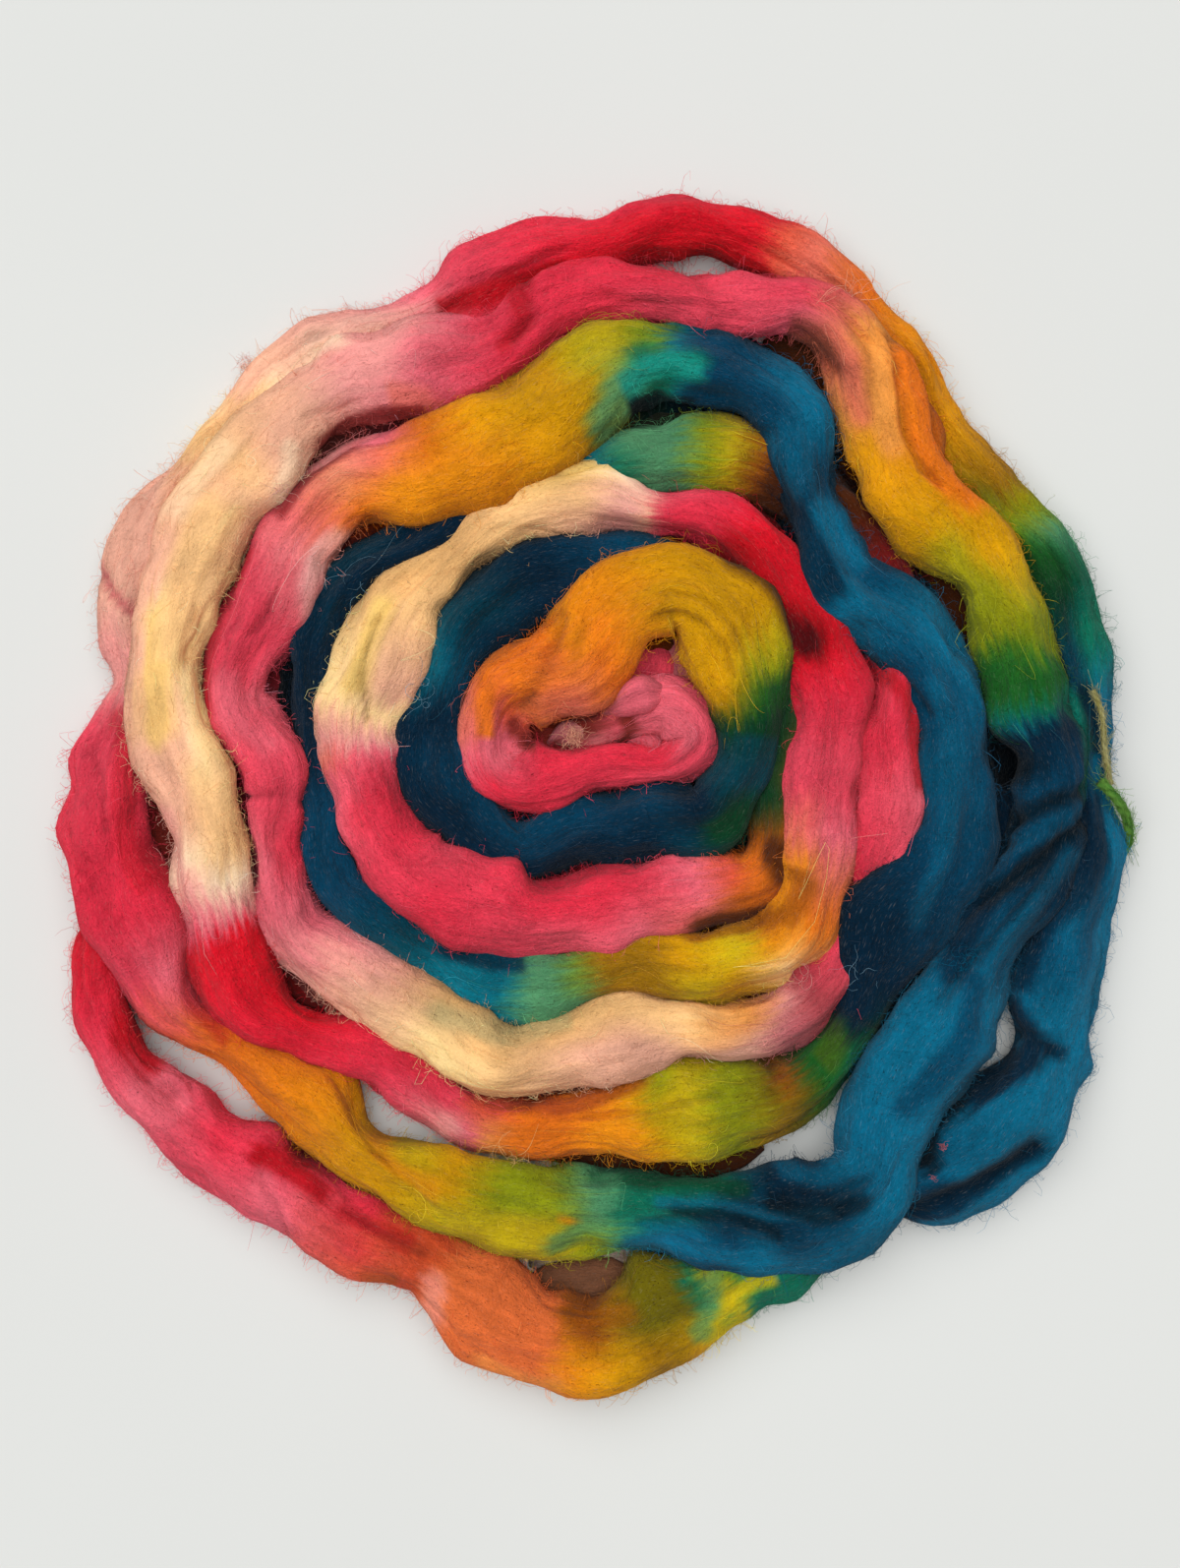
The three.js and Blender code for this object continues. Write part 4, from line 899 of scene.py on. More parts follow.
    def painted(self, s, angle, colour):
        """The dye with the strokes laid over it, streaks of dye and strokes of painted shade and painted
        light, feathered along the fibres, and with painted shade in the creases.
        """
        if not self.strokes:
            return colour
        plain = self.section(s, angle)
        ragged = noise(RAGGED, s, share_round(angle))
        edge, softness = STROKE_EDGE
        for first, last, dye, half_width, most, line in self.strokes:
            at = self.stretch(s, first, last)
            far = line_distance(plain.x[at], plain.y[at], line) / half_width + ragged[at]
            share = most * smooth_step(np.clip((edge - far) / softness, 0, 1))[..., None]
            colour[at] = colour[at] * (1 - share) + np.array(self.dyes[dye]) * share
        # painted shade in the creases, deeper with the crease's depth
        each, most = CREASE_SHADE
        shade = np.clip(each * self.crease_depth(s, plain.x, plain.y), 0, most)
        return colour * (1 - shade[..., None])


def line_distance(x, y, line):
    """Distance over the ground from places to a broken line."""
    nearest = np.full(np.shape(x), np.inf)
    for (start_x, start_y), (end_x, end_y) in zip(line, line[1:]):
        run_x, run_y = end_x - start_x, end_y - start_y
        share = ((x - start_x) * run_x + (y - start_y) * run_y) / (run_x * run_x + run_y * run_y)
        share = np.clip(share, 0, 1)
        nearest = np.minimum(nearest, np.hypot(x - start_x - share * run_x, y - start_y - share * run_y))
    return nearest


def linear(colour):
    """Display colour to linear light."""
    colour = np.asarray(colour, float)
    return np.where(colour <= 0.04045, colour / 12.92, ((colour + 0.055) / 1.055) ** 2.4)


# ---------------------------------------------------------------- meshes


def make_piece(name, points, quads, triangles, material, slot, colours):
    """A mesh object at the origin, riding on the part's body.

    points are in millimetres, and colours maps an attribute's name to one colour a point.
    """
    mesh = bpy.data.meshes.new(name)
    mesh.vertices.add(len(points))
    mesh.vertices.foreach_set("co", (points * MM).astype(np.float32).ravel())
    corners = np.concatenate([quads.ravel(), triangles.ravel()]).astype(np.int32)
    starts = np.concatenate([np.arange(len(quads)) * 4, quads.size + np.arange(len(triangles)) * 3])
    mesh.loops.add(len(corners))
    mesh.loops.foreach_set("vertex_index", corners)
    mesh.polygons.add(len(starts))
    mesh.polygons.foreach_set("loop_start", starts.astype(np.int32))
    mesh.polygons.foreach_set("use_smooth", np.ones(len(starts), bool))
    mesh.update(calc_edges=True)
    for attribute, colour in colours.items():
        layer = mesh.color_attributes.new(attribute, "FLOAT_COLOR", "POINT")
        rgba = np.concatenate([colour, np.ones((len(colour), 1))], axis=1)
        layer.data.foreach_set("color", rgba.astype(np.float32).ravel())
    mesh.materials.append(material)
    piece = bpy.data.objects.new(name, mesh)
    bpy.context.scene.collection.objects.link(piece)
    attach(piece, BODY)
    return piece


def tube_faces(rings, sides):
    """Quads of a tube of rings of points, and their corners' places on its grid (ring, side)."""
    ring, side = np.indices((rings - 1, sides)).reshape(2, -1)
    corners = [np.stack([ring + i, side + j], -1) for i, j in ((0, 0), (0, 1), (1, 1), (1, 0))]
    grid = np.stack(corners, axis=1)
    return grid[..., 0] * sides + grid[..., 1] % sides, grid


def closed_tube(skin, ends, lengths, perimeter, colours, turned=False):
    """A tube of rings of points, closed by a pole at each end.

    skin is rings x sides x 3, ends the two poles, lengths each ring's place along the tube, and colours a
    list of layers as large as skin; a pole has the mean colour of its ring. turned is for rings that run the
    other way round. The UV of a face corner is its millimetres along and round the tube.
    """
    rings, sides = skin.shape[:2]
    quads, grid = tube_faces(rings, sides)
    around = np.arange(sides)
    after = (around + 1) % sides
    last_ring = (rings - 1) * sides
    first = np.stack([np.full(sides, rings * sides), after, around], -1)
    last = np.stack([np.full(sides, rings * sides + 1), last_ring + around, last_ring + after], -1)
    triangles = np.concatenate([first, last])
    if turned:
        quads, grid, triangles = quads[:, ::-1], grid[:, ::-1], triangles[:, [0, 2, 1]]
    layers = [np.concatenate([layer.reshape(-1, 3), layer[[0, -1]].mean(axis=1)]) for layer in colours]
    pole_uv = np.zeros((2, 3 * sides, 2))
    pole_uv[..., 0] = lengths[[0, -1], None]
    return SimpleNamespace(
        points=np.concatenate([skin.reshape(-1, 3), ends]), quads=quads, triangles=triangles, layers=layers,
        uv=np.stack([lengths[grid[..., 0]], grid[..., 1] / sides * perimeter], -1).reshape(-1, 2),
        pole_uv=pole_uv.reshape(-1, 2),
    )


def tube_piece(name, tubes, material, slot):
    """One mesh object of one or more closed tubes, with its UV map in metres."""
    counts = np.cumsum([0] + [len(tube.points) for tube in tubes])
    points = np.concatenate([tube.points for tube in tubes])
    quads = np.concatenate([tube.quads + base for tube, base in zip(tubes, counts)])
    triangles = np.concatenate([tube.triangles + base for tube, base in zip(tubes, counts)])
    dye, dye_ahead = (np.concatenate([tube.layers[i] for tube in tubes]) for i in (0, 1))
    piece = make_piece(name, points, quads, triangles, material, slot, {"dye": dye, "dye_ahead": dye_ahead})
    uv = np.concatenate([tube.uv for tube in tubes] + [tube.pole_uv for tube in tubes]) * MM
    layer = piece.data.uv_layers.new(name="lengthwise")
    layer.data.foreach_set("uv", uv.astype(np.float32).ravel())
    return piece


def skin_tube(strand, start, end, step, sides):
    """The strand's skin between two lengths. The points of a section are closer together on its top."""
    s = np.linspace(start, end, int((end - start) / step) + 1)
    turn = np.arange(sides) / sides
    angle = -np.pi / 2 + 2 * np.pi * (turn + SKIN_BUNCHING * np.sin(2 * np.pi * turn))
    s_grid, angle_grid = np.meshgrid(s, angle, indexing="ij")
    skin = strand.surface(s_grid, angle_grid)
    colours = [strand.dye(s_grid, angle_grid, ahead) for ahead in (0.0, DYE_AHEAD)]
    return closed_tube(skin, skin[[0, -1]].mean(axis=1), s, PERIMETER, colours)


ODD_WAY = np.array([0.31, 0.17, 0.94])  # a direction that hardly any fibre runs in


def unit(vectors):
    """The vectors with a length of 1."""
    return vectors / np.maximum(np.linalg.norm(vectors, axis=-1, keepdims=True), LEAST)


def thread_mesh(paths, radii):
    """Three-sided closed threads along many paths at once: (points, quads, triangles).

    paths is threads x points x 3 and radii threads x points. Each section is a triangle across the path.
    """
    threads, count, _ = paths.shape
    along = unit(np.gradient(paths, axis=1))
    level = unit(np.cross(along, ODD_WAY))
    other = np.cross(along, level)
    corners = 2 * np.pi * np.arange(3) / 3
    ring = np.cos(corners)[:, None] * level[:, :, None] + np.sin(corners)[:, None] * other[:, :, None]
    points = paths[:, :, None] + ring * radii[:, :, None, None]
    quads, _ = tube_faces(count, 3)
    last = 3 * (count - 1)
    caps = np.array([[2, 1, 0], [last, last + 1, last + 2]])
    base = np.arange(threads)[:, None, None] * count * 3
    return points.reshape(-1, 3), (quads + base).reshape(-1, 4), (caps + base).reshape(-1, 3)


# ---------------------------------------------------------------- materials


class Nodes:
    """A material's nodes, made one by one: inputs are linked where a socket is given, and set otherwise."""

    def __init__(self, name):
        self.material = bpy.data.materials.new(name)
        self.material.use_nodes = True
        self.tree = self.material.node_tree
        self.tree.nodes.clear()

    def add(self, kind, inputs=(), **settings):
        node = self.tree.nodes.new(kind)
        for key, value in settings.items():
            setattr(node, key, value)
        for key, value in dict(inputs).items():
            if isinstance(value, bpy.types.NodeSocket):
                self.tree.links.new(value, node.inputs[key])
            else:
                node.inputs[key].default_value = value
        return node

    def attribute(self, name):
        return self.add("ShaderNodeAttribute", attribute_name=name).outputs["Color"]

    def place(self):
        return self.add("ShaderNodeTexCoord").outputs["Object"]

    def stretched_noise(self, vector, scale, detail=3.0, rough=0.55, distortion=0.0):
        """Noise on stretched coordinates: scale is cells a metre along and round."""
        place = self.add("ShaderNodeMapping", {"Vector": vector, "Scale": scale}).outputs[0]
        shape = {"Scale": 1.0, "Detail": detail, "Roughness": rough, "Distortion": distortion}
        return self.add("ShaderNodeTexNoise", {"Vector": place, **shape}).outputs["Fac"]

    def spread(self, value, low, high, to_low=0.0, to_high=1.0):
        """The value moved from the range low to high into the other range."""
        ranges = {"From Min": low, "From Max": high, "To Min": to_low, "To Max": to_high}
        return self.add("ShaderNodeMapRange", {"Value": value, **ranges}).outputs[0]

    def blend(self, factor, a, b, mode="MIX"):
        mix = self.add("ShaderNodeMix", {0: factor, 6: a, 7: b}, data_type="RGBA", blend_type=mode)
        return mix.outputs[2]

    def mottled(self, share, colour, value, low, high):
        """The colour times a noise that runs from low to high."""
        return self.blend(share, colour, self.spread(value, 0.3, 0.7, low, high), "MULTIPLY")

    def calculate(self, operation, a, b):
        return self.add("ShaderNodeMath", {0: a, 1: b}, operation=operation).outputs[0]

    def finish(self, inputs):
        """The material, with one principled shader that has these inputs."""
        skin = self.add("ShaderNodeBsdfPrincipled", inputs)
        self.add("ShaderNodeOutputMaterial", {"Surface": skin.outputs[0]})
        return self.material


def wool_material(name, depth=0.8 * MM):
    """Felted dyed wool, whose colour attribute holds the dyes with the painted shade laid into them.

    Noise is laid along the strand in cells a metre along and round: soft locks that carry the neighbouring
    dye, a mottle of short fibres, clumps, small dark flecks and a few pale ones. The same noises make the
    bump. Pale wool has less of the mottle, the clumps, the flecks and the bump.
    """
    nodes = Nodes(name)
    uv = nodes.add("ShaderNodeUVMap", uv_map="lengthwise").outputs[0]
    dye = nodes.attribute("dye")
    locks = nodes.stretched_noise(uv, (60.0, 420.0, 1.0), 2.0)
    mottle = nodes.stretched_noise(uv, (420.0, 700.0, 1.0), 4.0, 0.65, 1.0)
    clumps = nodes.stretched_noise(uv, (130.0, 190.0, 1.0), 2.0, 0.5, 0.8)
    flecks = nodes.stretched_noise(uv, (520.0, 1700.0, 1.0), 1.0, 0.55, 2.0)
    glints = nodes.stretched_noise(uv, (330.0, 2900.0, 1.0), 1.0)
    felt = nodes.stretched_noise(nodes.place(), (1300.0, 1300.0, 1300.0), 3.0, 0.6)
    pale = nodes.add("ShaderNodeRGBToBW", {"Color": dye}).outputs[0]
    strong = nodes.spread(pale, 0.25, 0.7, 1.0, 0.45)
    colour = nodes.blend(nodes.spread(locks, 0.4, 0.6, 0.0, 0.9), dye, nodes.attribute("dye_ahead"))
    colour = nodes.mottled(strong, colour, mottle, 0.84, 1.13)
    colour = nodes.mottled(strong, colour, clumps, 0.89, 1.09)
    colour = nodes.mottled(1.0, colour, felt, 0.92, 1.06)
    dark = nodes.blend(1.0, colour, (0.3, 0.2, 0.2, 1.0), "MULTIPLY")
    dark_share = nodes.calculate("MULTIPLY", nodes.spread(flecks, 0.65, 0.71, 0.0, 0.85), strong)
    colour = nodes.blend(dark_share, colour, dark)
    light = nodes.blend(0.35, colour, (0.9, 0.84, 0.74, 1.0))
    colour = nodes.blend(nodes.spread(glints, 0.62, 0.78, 0.0, 0.22), colour, light)
    height = mottle
    for layer in (felt, locks, clumps):
        height = nodes.calculate("ADD", height, layer)
    strength = nodes.spread(pale, 0.25, 0.7, 0.95, 0.45)
    bump = nodes.add("ShaderNodeBump", {"Height": height, "Distance": depth, "Strength": strength})
    return nodes.finish({
        "Base Color": colour, "Normal": bump.outputs[0], "Roughness": 1.0, "Specular IOR Level": 0.03,
        "Sheen Weight": 0.06, "Sheen Roughness": 0.5,
    })


def fibre_material(name):
    """Single fibres: the dye where each grows, with any painted shade there, a little glossy, uneven along
    each fibre.
    """
    nodes = Nodes(name)
    uneven = nodes.stretched_noise(nodes.place(), (400.0, 400.0, 400.0), 2.0)
    colour = nodes.mottled(1.0, nodes.attribute("dye"), uneven, 0.8, 1.15)
    return nodes.finish({"Base Color": colour, "Roughness": 0.9, "Specular IOR Level": 0.08})


def floor_material(name, colour):
    """A smooth pale board, faintly uneven in tone."""
    nodes = Nodes(name)
    tone = nodes.stretched_noise(nodes.place(), (3.0, 3.0, 3.0), 2.0)
    colour = nodes.mottled(1.0, (*colour, 1.0), tone, 0.985, 1.015)
    return nodes.finish({"Base Color": colour, "Roughness": 0.6, "Specular IOR Level": 0.2})


def once(name, maker, *values):
    """The material of that name, made the first time it's asked for."""
    return bpy.data.materials.get(name) or maker(name, *values)


# ---------------------------------------------------------------- shared by the operators


def dye_colours(scene):
    """Each dye's colour by its name."""
    return {name: tuple(getattr(scene.roving_dyes, name)) for name, _, _ in DYES}


def main_strand(scene):
    """The whole strand with its touches, creases and strokes of dye and of painted shade."""
    strand = Strand(
        STRAND_ROWS, DYES_ALONG, dye_colours(scene), touches=TOUCHES, creases=CREASES, strokes=STROKES
    )
    strand.look_beside()
    return strand


def under_strand(scene):
    """A lower and wider strand on the same rows, its dyes dimmed as painted shade of the one over it."""
    rows = [(x, y, width + UNDER_WIDER, 0) for x, y, width, _ in STRAND_ROWS]
    dyes = {name: tuple(np.array(UNDER_SHADE) * colour) for name, colour in dye_colours(scene).items()}
    return Strand(rows, DYES_ALONG, dyes, UNDER_DETAIL, UNDER_FLATNESS)


def route_points(route):
    """Points along a yarn's route, one every YARN_STEP, millimetres in the part's frame."""
    rows = np.array(route, float) - np.array([*BOX_MIDDLE, 0])
    lengths = np.concatenate([[0], np.cumsum(np.linalg.norm(np.diff(rows, axis=0), axis=1))])
    count = int(lengths[-1] / YARN_STEP) + 1
    return hermite(lengths, rows, np.linspace(0, lengths[-1], count))


def path_frames(path):
    """Unit directions along, level across and up from a path's points."""
    along = unit(np.gradient(path, axis=0))
    level = unit(np.cross(along, np.array([0, 0, 1.0])))
    return along, level, np.cross(level, along)


def ring_ways(angle, level, up):
    """Directions at angles round a path, from level towards up."""
    return np.cos(angle)[..., None] * level + np.sin(angle)[..., None] * up


def yarn_tube(path, tie, dyes):
    """A plied yarn along a path: its section has a lobe for each ply, and they turn once a pitch."""
    _, level, up = path_frames(path)
    s = np.arange(len(path)) * YARN_STEP
    s_grid, angle = np.meshgrid(s, 2 * np.pi * np.arange(YARN_SIDES) / YARN_SIDES, indexing="ij")
    around = angle / (2 * np.pi)
    lobe = np.abs(np.cos(PLIES / 2 * angle - np.pi * PLIES * s_grid / tie["pitch"]))
    radius = tie["diameter"] / 2 * (0.8 + 0.2 * lobe ** 0.7) * (1 + noise(YARN_SWELLING, s_grid, around))
    skin = path[:, None] + radius[..., None] * ring_ways(angle, level[:, None], up[:, None])
    skin[..., 2] = np.maximum(skin[..., 2], YARN_LOWEST)
    mix = 0.5 + noise(YARN_MIX, s_grid, around)[..., None]
    first, second = (linear(dyes[name]) for name in tie["dyes"])
    # painted shade and light: darker in the grooves between the plies, lighter on their crests
    colour = (first * mix + second * (1 - mix)) * (0.72 + 0.4 * lobe)[..., None]
    return closed_tube(skin, path[[0, -1]], s, np.pi * tie["diameter"], [colour, colour], turned=True)


# ---------------------------------------------------------------- operators


class ROVING_OT_camera(bpy.types.Operator):
    """Sets the camera straight above the coil, with the coil's +Y side up"""

    bl_idname = "roving.camera"
    bl_label = "Camera"

    AIM = (-1.267 * MM, 2.25 * MM)
    WOOL_HEIGHT = 12 * MM
    SENSOR = 36.0  # millimetres

    def execute(self, context):
        stage = context.scene.roving_stage
        camera = bpy.data.objects.new("roving_camera", bpy.data.cameras.new("roving_camera"))
        context.scene.collection.objects.link(camera)
        camera.location = (*self.AIM, self.WOOL_HEIGHT + stage.camera_height)
        camera.data.sensor_width = self.SENSOR
        camera.data.lens = self.SENSOR * stage.camera_height / stage.seen_length
        camera.data.clip_start = 0.01
        context.scene.camera = camera
        return {"FINISHED"}


class ROVING_OT_ties(bpy.types.Operator):
    """Makes the green yarn round the outer turn and its thin loose end"""

    bl_idname = "roving.ties"
    bl_label = "Tie yarns"

    BUMP = 0.2 * MM

    def execute(self, context):
        dyes = dye_colours(context.scene)
        material = once("tie_yarn", wool_material, self.BUMP)
        for node, tie in TIES.items():
            path = route_points(tie["route"])
            yarn = tube_piece(f"{node}_yarn", [yarn_tube(path, tie, dyes)], material, tie["slot"])
            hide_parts(node)
        return {"FINISHED"}


class ROVING_OT_strand(bpy.types.Operator):
    """Makes the skin of the strand, in two lengths that meet where the strand dips under its next turn"""

    bl_idname = "roving.strand"
    bl_label = "Strand"

    MEETING_ROW = 102.4

    def execute(self, context):
        sizes = context.scene.roving_sizes
        material = once("dyed_wool", wool_material)
        strand = main_strand(context.scene)
        meeting = float(strand.length_at(self.MEETING_ROW))
        for name, start, end in (
            ("roving_inner_turns", 0, meeting), ("roving_outer_turns", meeting, strand.length),
        ):
            skin = skin_tube(strand, start, end, sizes.ring_step / MM, sizes.sides)
            piece = tube_piece(name, [skin], material, "wool")
            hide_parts("roving")
        return {"FINISHED"}


class ROVING_OT_locks(bpy.types.Operator):
    """Makes the tufts that have come loose from the strand, the thin wool low in its gaps, and the dim wool
    under it; most of the low wool and all of the wool under it are painted shade
    """

    bl_idname = "roving.locks"
    bl_label = "Loose locks"

    # millimetres between two rings, and points in each
    TUFT_GRID = (1.0, 48)
    LOW_GRID = (2.0, 36)
    UNDER_GRID = (4.0, 24)

    def execute(self, context):
        material = once("dyed_wool", wool_material)
        dyes = dye_colours(context.scene)
        tufts = [Strand(rows, dyes_along, dyes, TUFT_DETAIL) for rows, dyes_along in TUFTS]
        skins = [skin_tube(tuft, 0, tuft.length, *self.TUFT_GRID) for tuft in tufts]
        tube_piece("loose_tufts", skins, material, "wool")
        # the dark strips low in the gaps and the dimmed wider strand under the strand are painted shade
        low = [
            Strand(rows, [(0, dye), (len(rows) - 1, dye)], dyes, LOW_DETAIL, LOW_FLATNESS)
            for rows, dye in LOW_WOOL_AND_SHADE
        ]
        skins = [skin_tube(strip, 0, strip.length, *self.LOW_GRID) for strip in low]
        under = under_strand(context.scene)
        skins += [skin_tube(under, *under.length_at(span), *self.UNDER_GRID) for span in UNDER_SPANS]
        tube_piece("low_wool_and_painted_shade", skins, material, "wool")
        return {"FINISHED"}


class ROVING_OT_fibres(bpy.types.Operator):
    """Makes the fine fibres that lie on the strand, stand out at its edges and stray from it"""

    bl_idname = "roving.fibres"
    bl_label = "Fibres"

    SEED = 11
    CELL = 2.0  # of the map of heights, millimetres
    MAP_CELLS = 400  # along each side of the map
    MAP_STEP = 1.5  # between two places of the strand that are put on the map
    MAP_ANGLES = np.linspace(-0.2, np.pi + 0.2, 48)
    TRIES = 3  # places tried for each fibre
    SPREAD = 0.35  # how far fibres start from the angle they belong to
    PIECE_THREADS = 6000
    PALER = np.array([0.06, 0.055, 0.05])  # that the palest fibres are than the wool under them
    THIN_END = 0.55  # share of its thickness that a fibre loses
    WISP_FLATNESS = 0.35

    # Points of a fibre, its share of the fibre width, its usual length, and how far under the wool above it
    # it may start.
    KINDS = {"lying": (4, 0.85, 6.0, 4.0), "edge": (4, 0.9, 2.4, 11.0), "curled": (16, 0.9, 11.0, 3.0)}

    def height_map(self, strand):
        """The highest wool in each cell of a map seen from above."""
        s = np.arange(0, strand.length, self.MAP_STEP)[:, None]
        points = strand.surface(s, self.MAP_ANGLES).reshape(-1, 3)
        heights = np.zeros((self.MAP_CELLS, self.MAP_CELLS))
        np.maximum.at(heights, self.cells(points), points[:, 2])
        return heights

    def cells(self, points):
        cells = (points[:, :2] / self.CELL + self.MAP_CELLS / 2).astype(int)
        return tuple(np.clip(cells, 0, self.MAP_CELLS - 1).T)

    def lying(self, rng, usual, t, way, wave):
        """Fibres that lie along the strand, some of them short and across it."""
        n = way.shape
        crossing = rng.random(n) < 0.6
        span = rng.lognormal(np.log(usual), 0.5, n) * np.where(crossing, 0.25, 1)
        turn = rng.normal(0, 0.14, n) * t + rng.normal(0, 0.06, n) * np.sin(np.pi * t)
        turn = turn + crossing * way * rng.uniform(0.06, 0.22, n) * t
        proud = 0.05 + rng.gamma(1.8, 0.3, n) * np.sin(np.pi * t)
        return span, turn, proud, 0.0

    def edge(self, rng, usual, t, way, wave):
        """Short ends that stand out from the strand's sides."""
        n = way.shape
        span = rng.lognormal(np.log(usual), 0.5, n)
        turn = rng.normal(0, 0.22, n) * t + rng.normal(0, 0.12, n) * np.sin(np.pi * t)
        proud = rng.gamma(2.2, 1.0, n) * np.sin(np.pi * t * rng.uniform(0.45, 0.95, n))
        sway = rng.uniform(0.2, 0.7, n) * np.sin(2 * np.pi * rng.uniform(0.5, 1.6, n) * t + wave)
        return span, turn, proud, sway

    def curled(self, rng, usual, t, way, wave):
        """Long fibres in curls and hooks."""
        n = way.shape
        span = rng.lognormal(np.log(usual), 0.5, n)
        turns = rng.uniform(0.3, 1.5, n)
        turn = rng.normal(0, 0.4, n) * t + rng.uniform(0.1, 0.35, n) * np.sin(2 * np.pi * turns * t)
        proud = rng.gamma(2.2, 0.8, n) * np.sin(np.pi * np.minimum(t * 1.2, 1)) ** 0.8
        sway = 0.35 * span * np.sin(2 * np.pi * turns * t + wave)
        return span, turn, proud, sway

    def roots(self, strand, rng, heights, kind, count, hidden):
        """Lengths and angles where fibres start, all of them seen from above."""
        tries = count * self.TRIES
        s = rng.uniform(2, strand.length - 2, tries)
        if kind == "edge":
            angle = np.where(rng.random(tries) < 0.5, 0.0, np.pi) + rng.normal(0, self.SPREAD, tries)
        else:
            angle = rng.uniform(-self.SPREAD, np.pi + self.SPREAD, tries)
        points = strand.surface(s, angle)
        seen = points[:, 2] > heights[self.cells(points)] - hidden
        kept = np.flatnonzero(seen)[:count]
        return s[kept, None], angle[kept, None]

    def threads(self, strand, rng, heights, kind, count):
        """Paths and colours of fibres: each runs along the strand and turns, rises and sways as its kind."""
        points, _, usual, hidden = self.KINDS[kind]
        s, angle = self.roots(strand, rng, heights, kind, count, hidden)
        n = s.shape
        t = np.linspace(0, 1, points)[None]
        way = np.where(rng.random(n) < 0.5, -1, 1)
        wave = rng.uniform(0, 2 * np.pi, n)
        span, turn, proud, sway = getattr(self, kind)(rng, usual, t, way, wave)
        s = s + sway
        paths = strand.surface(np.clip(s + way * span * t, 0, strand.length), angle + turn, proud)
        paths[..., 2] = np.maximum(paths[..., 2], FIBRE_LOWEST)
        colour = strand.dye(s[:, 0], angle[:, 0])
        pale = rng.beta(1.0, 3.5, n)
        colour = colour * (1 + 1.6 * pale) + pale * self.PALER
        return paths, colour * rng.uniform(0.85, 1.2, n)

    def execute(self, context):
        sizes = context.scene.roving_sizes
        strand = main_strand(context.scene)
        heights = self.height_map(strand)
        rng = np.random.default_rng(self.SEED)
        radius = sizes.fibre_width / MM / 2
        for kind, (_, thickness, _, _) in self.KINDS.items():
            count = getattr(sizes, f"{kind}_fibres")
            paths, colours = self.threads(strand, rng, heights, kind, count)
            for number, start in enumerate(range(0, len(paths), self.PIECE_THREADS), 1):
                group = slice(start, start + self.PIECE_THREADS)
                self.make(f"{kind}_fibres_{number}", paths[group], colours[group], radius * thickness)
        dyes = dye_colours(context.scene)
        clumps = [self.wisp(rng, dyes, *wisp) for wisp in WISPS]
        paths, colours = (np.concatenate(part) for part in zip(*clumps))
        self.make("loose_wisps", paths, colours, radius * WISP_THICKNESS)
        return {"FINISHED"}

    def wisp(self, rng, dyes, x, y, z, spread, count, length, curl, aim, dye):
        """One loose clump: fibres that leave a small ball and wander, curling as they go."""
        n = (count, 1)
        t = np.linspace(0, 1, WISP_POINTS)[None]
        start = rng.normal(0, spread / 1.7, (count, 3)) * (1, 1, self.WISP_FLATNESS)
        start += (x - BOX_MIDDLE[0], y - BOX_MIDDLE[1], z)
        way = rng.uniform(0, 2 * np.pi, n)
        bend = rng.normal(0, curl, n) + np.sign(rng.normal(size=n)) * curl * 0.6
        heading = way + bend * t + 0.5 * np.sin(2 * np.pi * (t * rng.uniform(0.5, 1.5, n) + way))
        pull = np.hypot(*aim)
        if pull > 0:
            mean = np.arctan2(aim[1], aim[0])
            heading = mean + (heading - mean) * (1 - 0.8 * min(pull, 1)) + rng.normal(0, 0.3, n)
        step = length * rng.gamma(6, 1 / 6, n) / WISP_POINTS
        rise = rng.normal(0, 1.2, n) * np.sin(np.pi * t)
        run = [np.cumsum(np.cos(heading) * step, axis=1), np.cumsum(np.sin(heading) * step, axis=1), rise]
        path = np.stack(run, axis=-1) + start[:, None]
        path[..., 2] = np.maximum(path[..., 2], WISP_LOWEST)
        return path, linear(dyes[dye]) * rng.uniform(0.75, 1.3, n)

    def make(self, name, paths, colours, radius):
        count = paths.shape[1]
        taper = 1 - self.THIN_END * np.linspace(0, 1, count) ** 2
        mesh = thread_mesh(paths, np.broadcast_to(radius * taper, paths.shape[:2]))
        tint = np.repeat(np.clip(colours, 0, 1), count * 3, axis=0)
        make_piece(name, *mesh, once("wool_fibre", fibre_material), "wool", {"dye": tint})


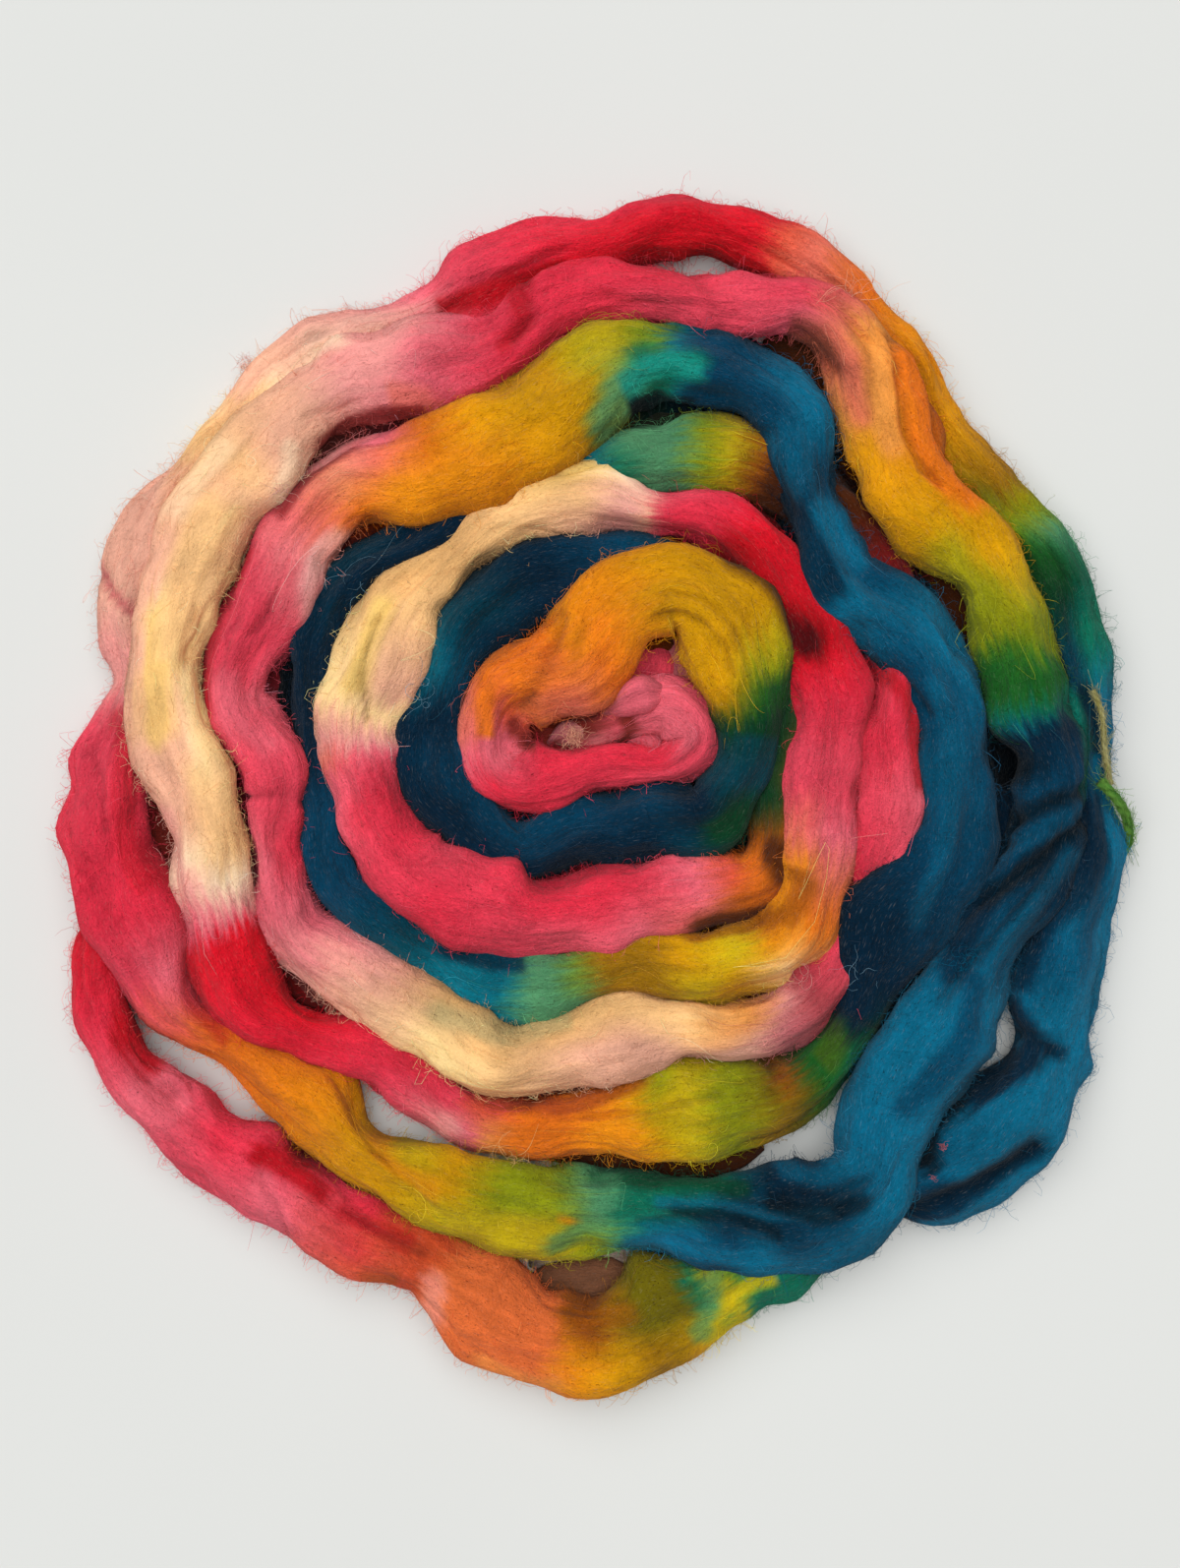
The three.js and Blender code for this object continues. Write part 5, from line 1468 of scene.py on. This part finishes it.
class ROVING_OT_tie_fuzz(bpy.types.Operator):
    """Makes the fuzz on both tie yarns"""

    bl_idname = "roving.tie_fuzz"
    bl_label = "Tie fuzz"

    SEED = 31
    POINTS = 6
    ROOT = 0.42  # of the yarn's thickness from its middle
    RADIUS = 0.06

    def fuzz(self, rng, tie):
        """Short fibres that leave the yarn at a low angle, each from a random place round it."""
        count, span, rise = tie["fuzz"]
        path = route_points(tie["route"])
        along, level, up = path_frames(path)
        root = rng.integers(2, len(path) - 2, count)
        out = ring_ways(rng.uniform(0, 2 * np.pi, count), level[root], up[root])
        way = along[root] * np.where(rng.random(count) < 0.5, -1, 1)[:, None]
        t = np.linspace(0, 1, self.POINTS)[None, :, None]
        length = rng.gamma(3, span / 3, count)[:, None, None]
        lift = rng.gamma(2, rise / 2, count)[:, None, None]
        bow = np.cross(out, way)[:, None] * (rng.normal(0, 0.35, count)[:, None, None] * length)
        start = path[root] + out * tie["diameter"] * self.ROOT
        threads = start[:, None] + way[:, None] * length * t + out[:, None] * lift * t ** 1.5 + bow * t ** 2
        threads[..., 2] = np.maximum(threads[..., 2], FIBRE_LOWEST)
        return threads

    def execute(self, context):
        dyes = dye_colours(context.scene)
        rng = np.random.default_rng(self.SEED)
        for node, tie in TIES.items():
            threads = self.fuzz(rng, tie)
            mesh = thread_mesh(threads, np.full(threads.shape[:2], self.RADIUS))
            shade = linear(dyes[tie["dyes"][0]]) * rng.uniform(0.7, 1.3, (len(threads), 1))
            colours = np.repeat(np.clip(shade, 0, 1), self.POINTS * 3, axis=0)
            material = once("wool_fibre", fibre_material)
            make_piece(f"{node}_fuzz", *mesh, material, tie["slot"], {"dye": colours})
        return {"FINISHED"}


class ROVING_OT_stage(bpy.types.Operator):
    """Makes the pale floor, the even sky light and the large soft light"""

    bl_idname = "roving.stage"
    bl_label = "Stage"

    FLOOR_HALF = 3.0
    FLOOR_HEIGHT = -0.3 * MM
    SKY_COLOUR = (1.0, 0.995, 0.985, 1.0)
    KEY_PLACE = (-0.32, 0.4, 1.5)  # the soft light shines from here to the origin

    def execute(self, context):
        scene, stage = context.scene, context.scene.roving_stage
        corners = [(-1, -1), (1, -1), (1, 1), (-1, 1)]
        mesh = bpy.data.meshes.new("floor")
        mesh.from_pydata(
            [(x * self.FLOOR_HALF, y * self.FLOOR_HALF, self.FLOOR_HEIGHT) for x, y in corners],
            [], [(0, 1, 2, 3)],
        )
        mesh.materials.append(once("pale_floor", floor_material, tuple(stage.floor_colour)))
        floor = bpy.data.objects.new("floor", mesh)
        scene.collection.objects.link(floor)
        world = bpy.data.worlds.new("sky")
        world.use_nodes = True
        background = world.node_tree.nodes["Background"]
        background.inputs["Color"].default_value = self.SKY_COLOUR
        background.inputs["Strength"].default_value = stage.sky
        scene.world = world
        lamp = bpy.data.lights.new("soft_light", "SUN")
        lamp.angle = stage.key_spread
        lamp.energy = stage.key_strength
        light = bpy.data.objects.new("soft_light", lamp)
        light.location = self.KEY_PLACE
        light.rotation_euler = (-Vector(self.KEY_PLACE)).to_track_quat("-Z", "Y").to_euler()
        scene.collection.objects.link(light)
        scene.view_settings.view_transform = "Standard"
        return {"FINISHED"}


class ROVING_PT_panel(bpy.types.Panel):
    """Lists the sizes, the dyes and the makers of the pieces"""

    bl_label = "Wool roving"
    bl_idname = "ROVING_PT_panel"
    bl_space_type = "VIEW_3D"
    bl_region_type = "UI"
    bl_category = "Roving"

    def draw(self, context):
        layout = self.layout
        for group in (context.scene.roving_sizes, context.scene.roving_stage, context.scene.roving_dyes):
            for name in group.__annotations__:
                layout.prop(group, name)
        for operator in OPERATORS:
            layout.operator(operator.bl_idname)


OPERATORS = [
    ROVING_OT_camera, ROVING_OT_ties, ROVING_OT_strand, ROVING_OT_locks, ROVING_OT_fibres,
    ROVING_OT_tie_fuzz, ROVING_OT_stage,
]
GROUPS = {"roving_dyes": RovingDyes, "roving_sizes": RovingSizes, "roving_stage": RovingStage}


def register():
    for name, group in GROUPS.items():
        bpy.utils.register_class(group)
        setattr(bpy.types.Scene, name, PointerProperty(type=group))
    for operator in OPERATORS:
        bpy.utils.register_class(operator)
    bpy.utils.register_class(ROVING_PT_panel)


def unregister():
    bpy.utils.unregister_class(ROVING_PT_panel)
    for operator in reversed(OPERATORS):
        bpy.utils.unregister_class(operator)
    for name, group in GROUPS.items():
        delattr(bpy.types.Scene, name)
        bpy.utils.unregister_class(group)


def main():
    register()
    for maker in ("camera", "ties", "strand", "locks", "fibres", "tie_fuzz", "stage"):
        getattr(bpy.ops.roving, maker)()


if __name__ == "__main__":
    main()
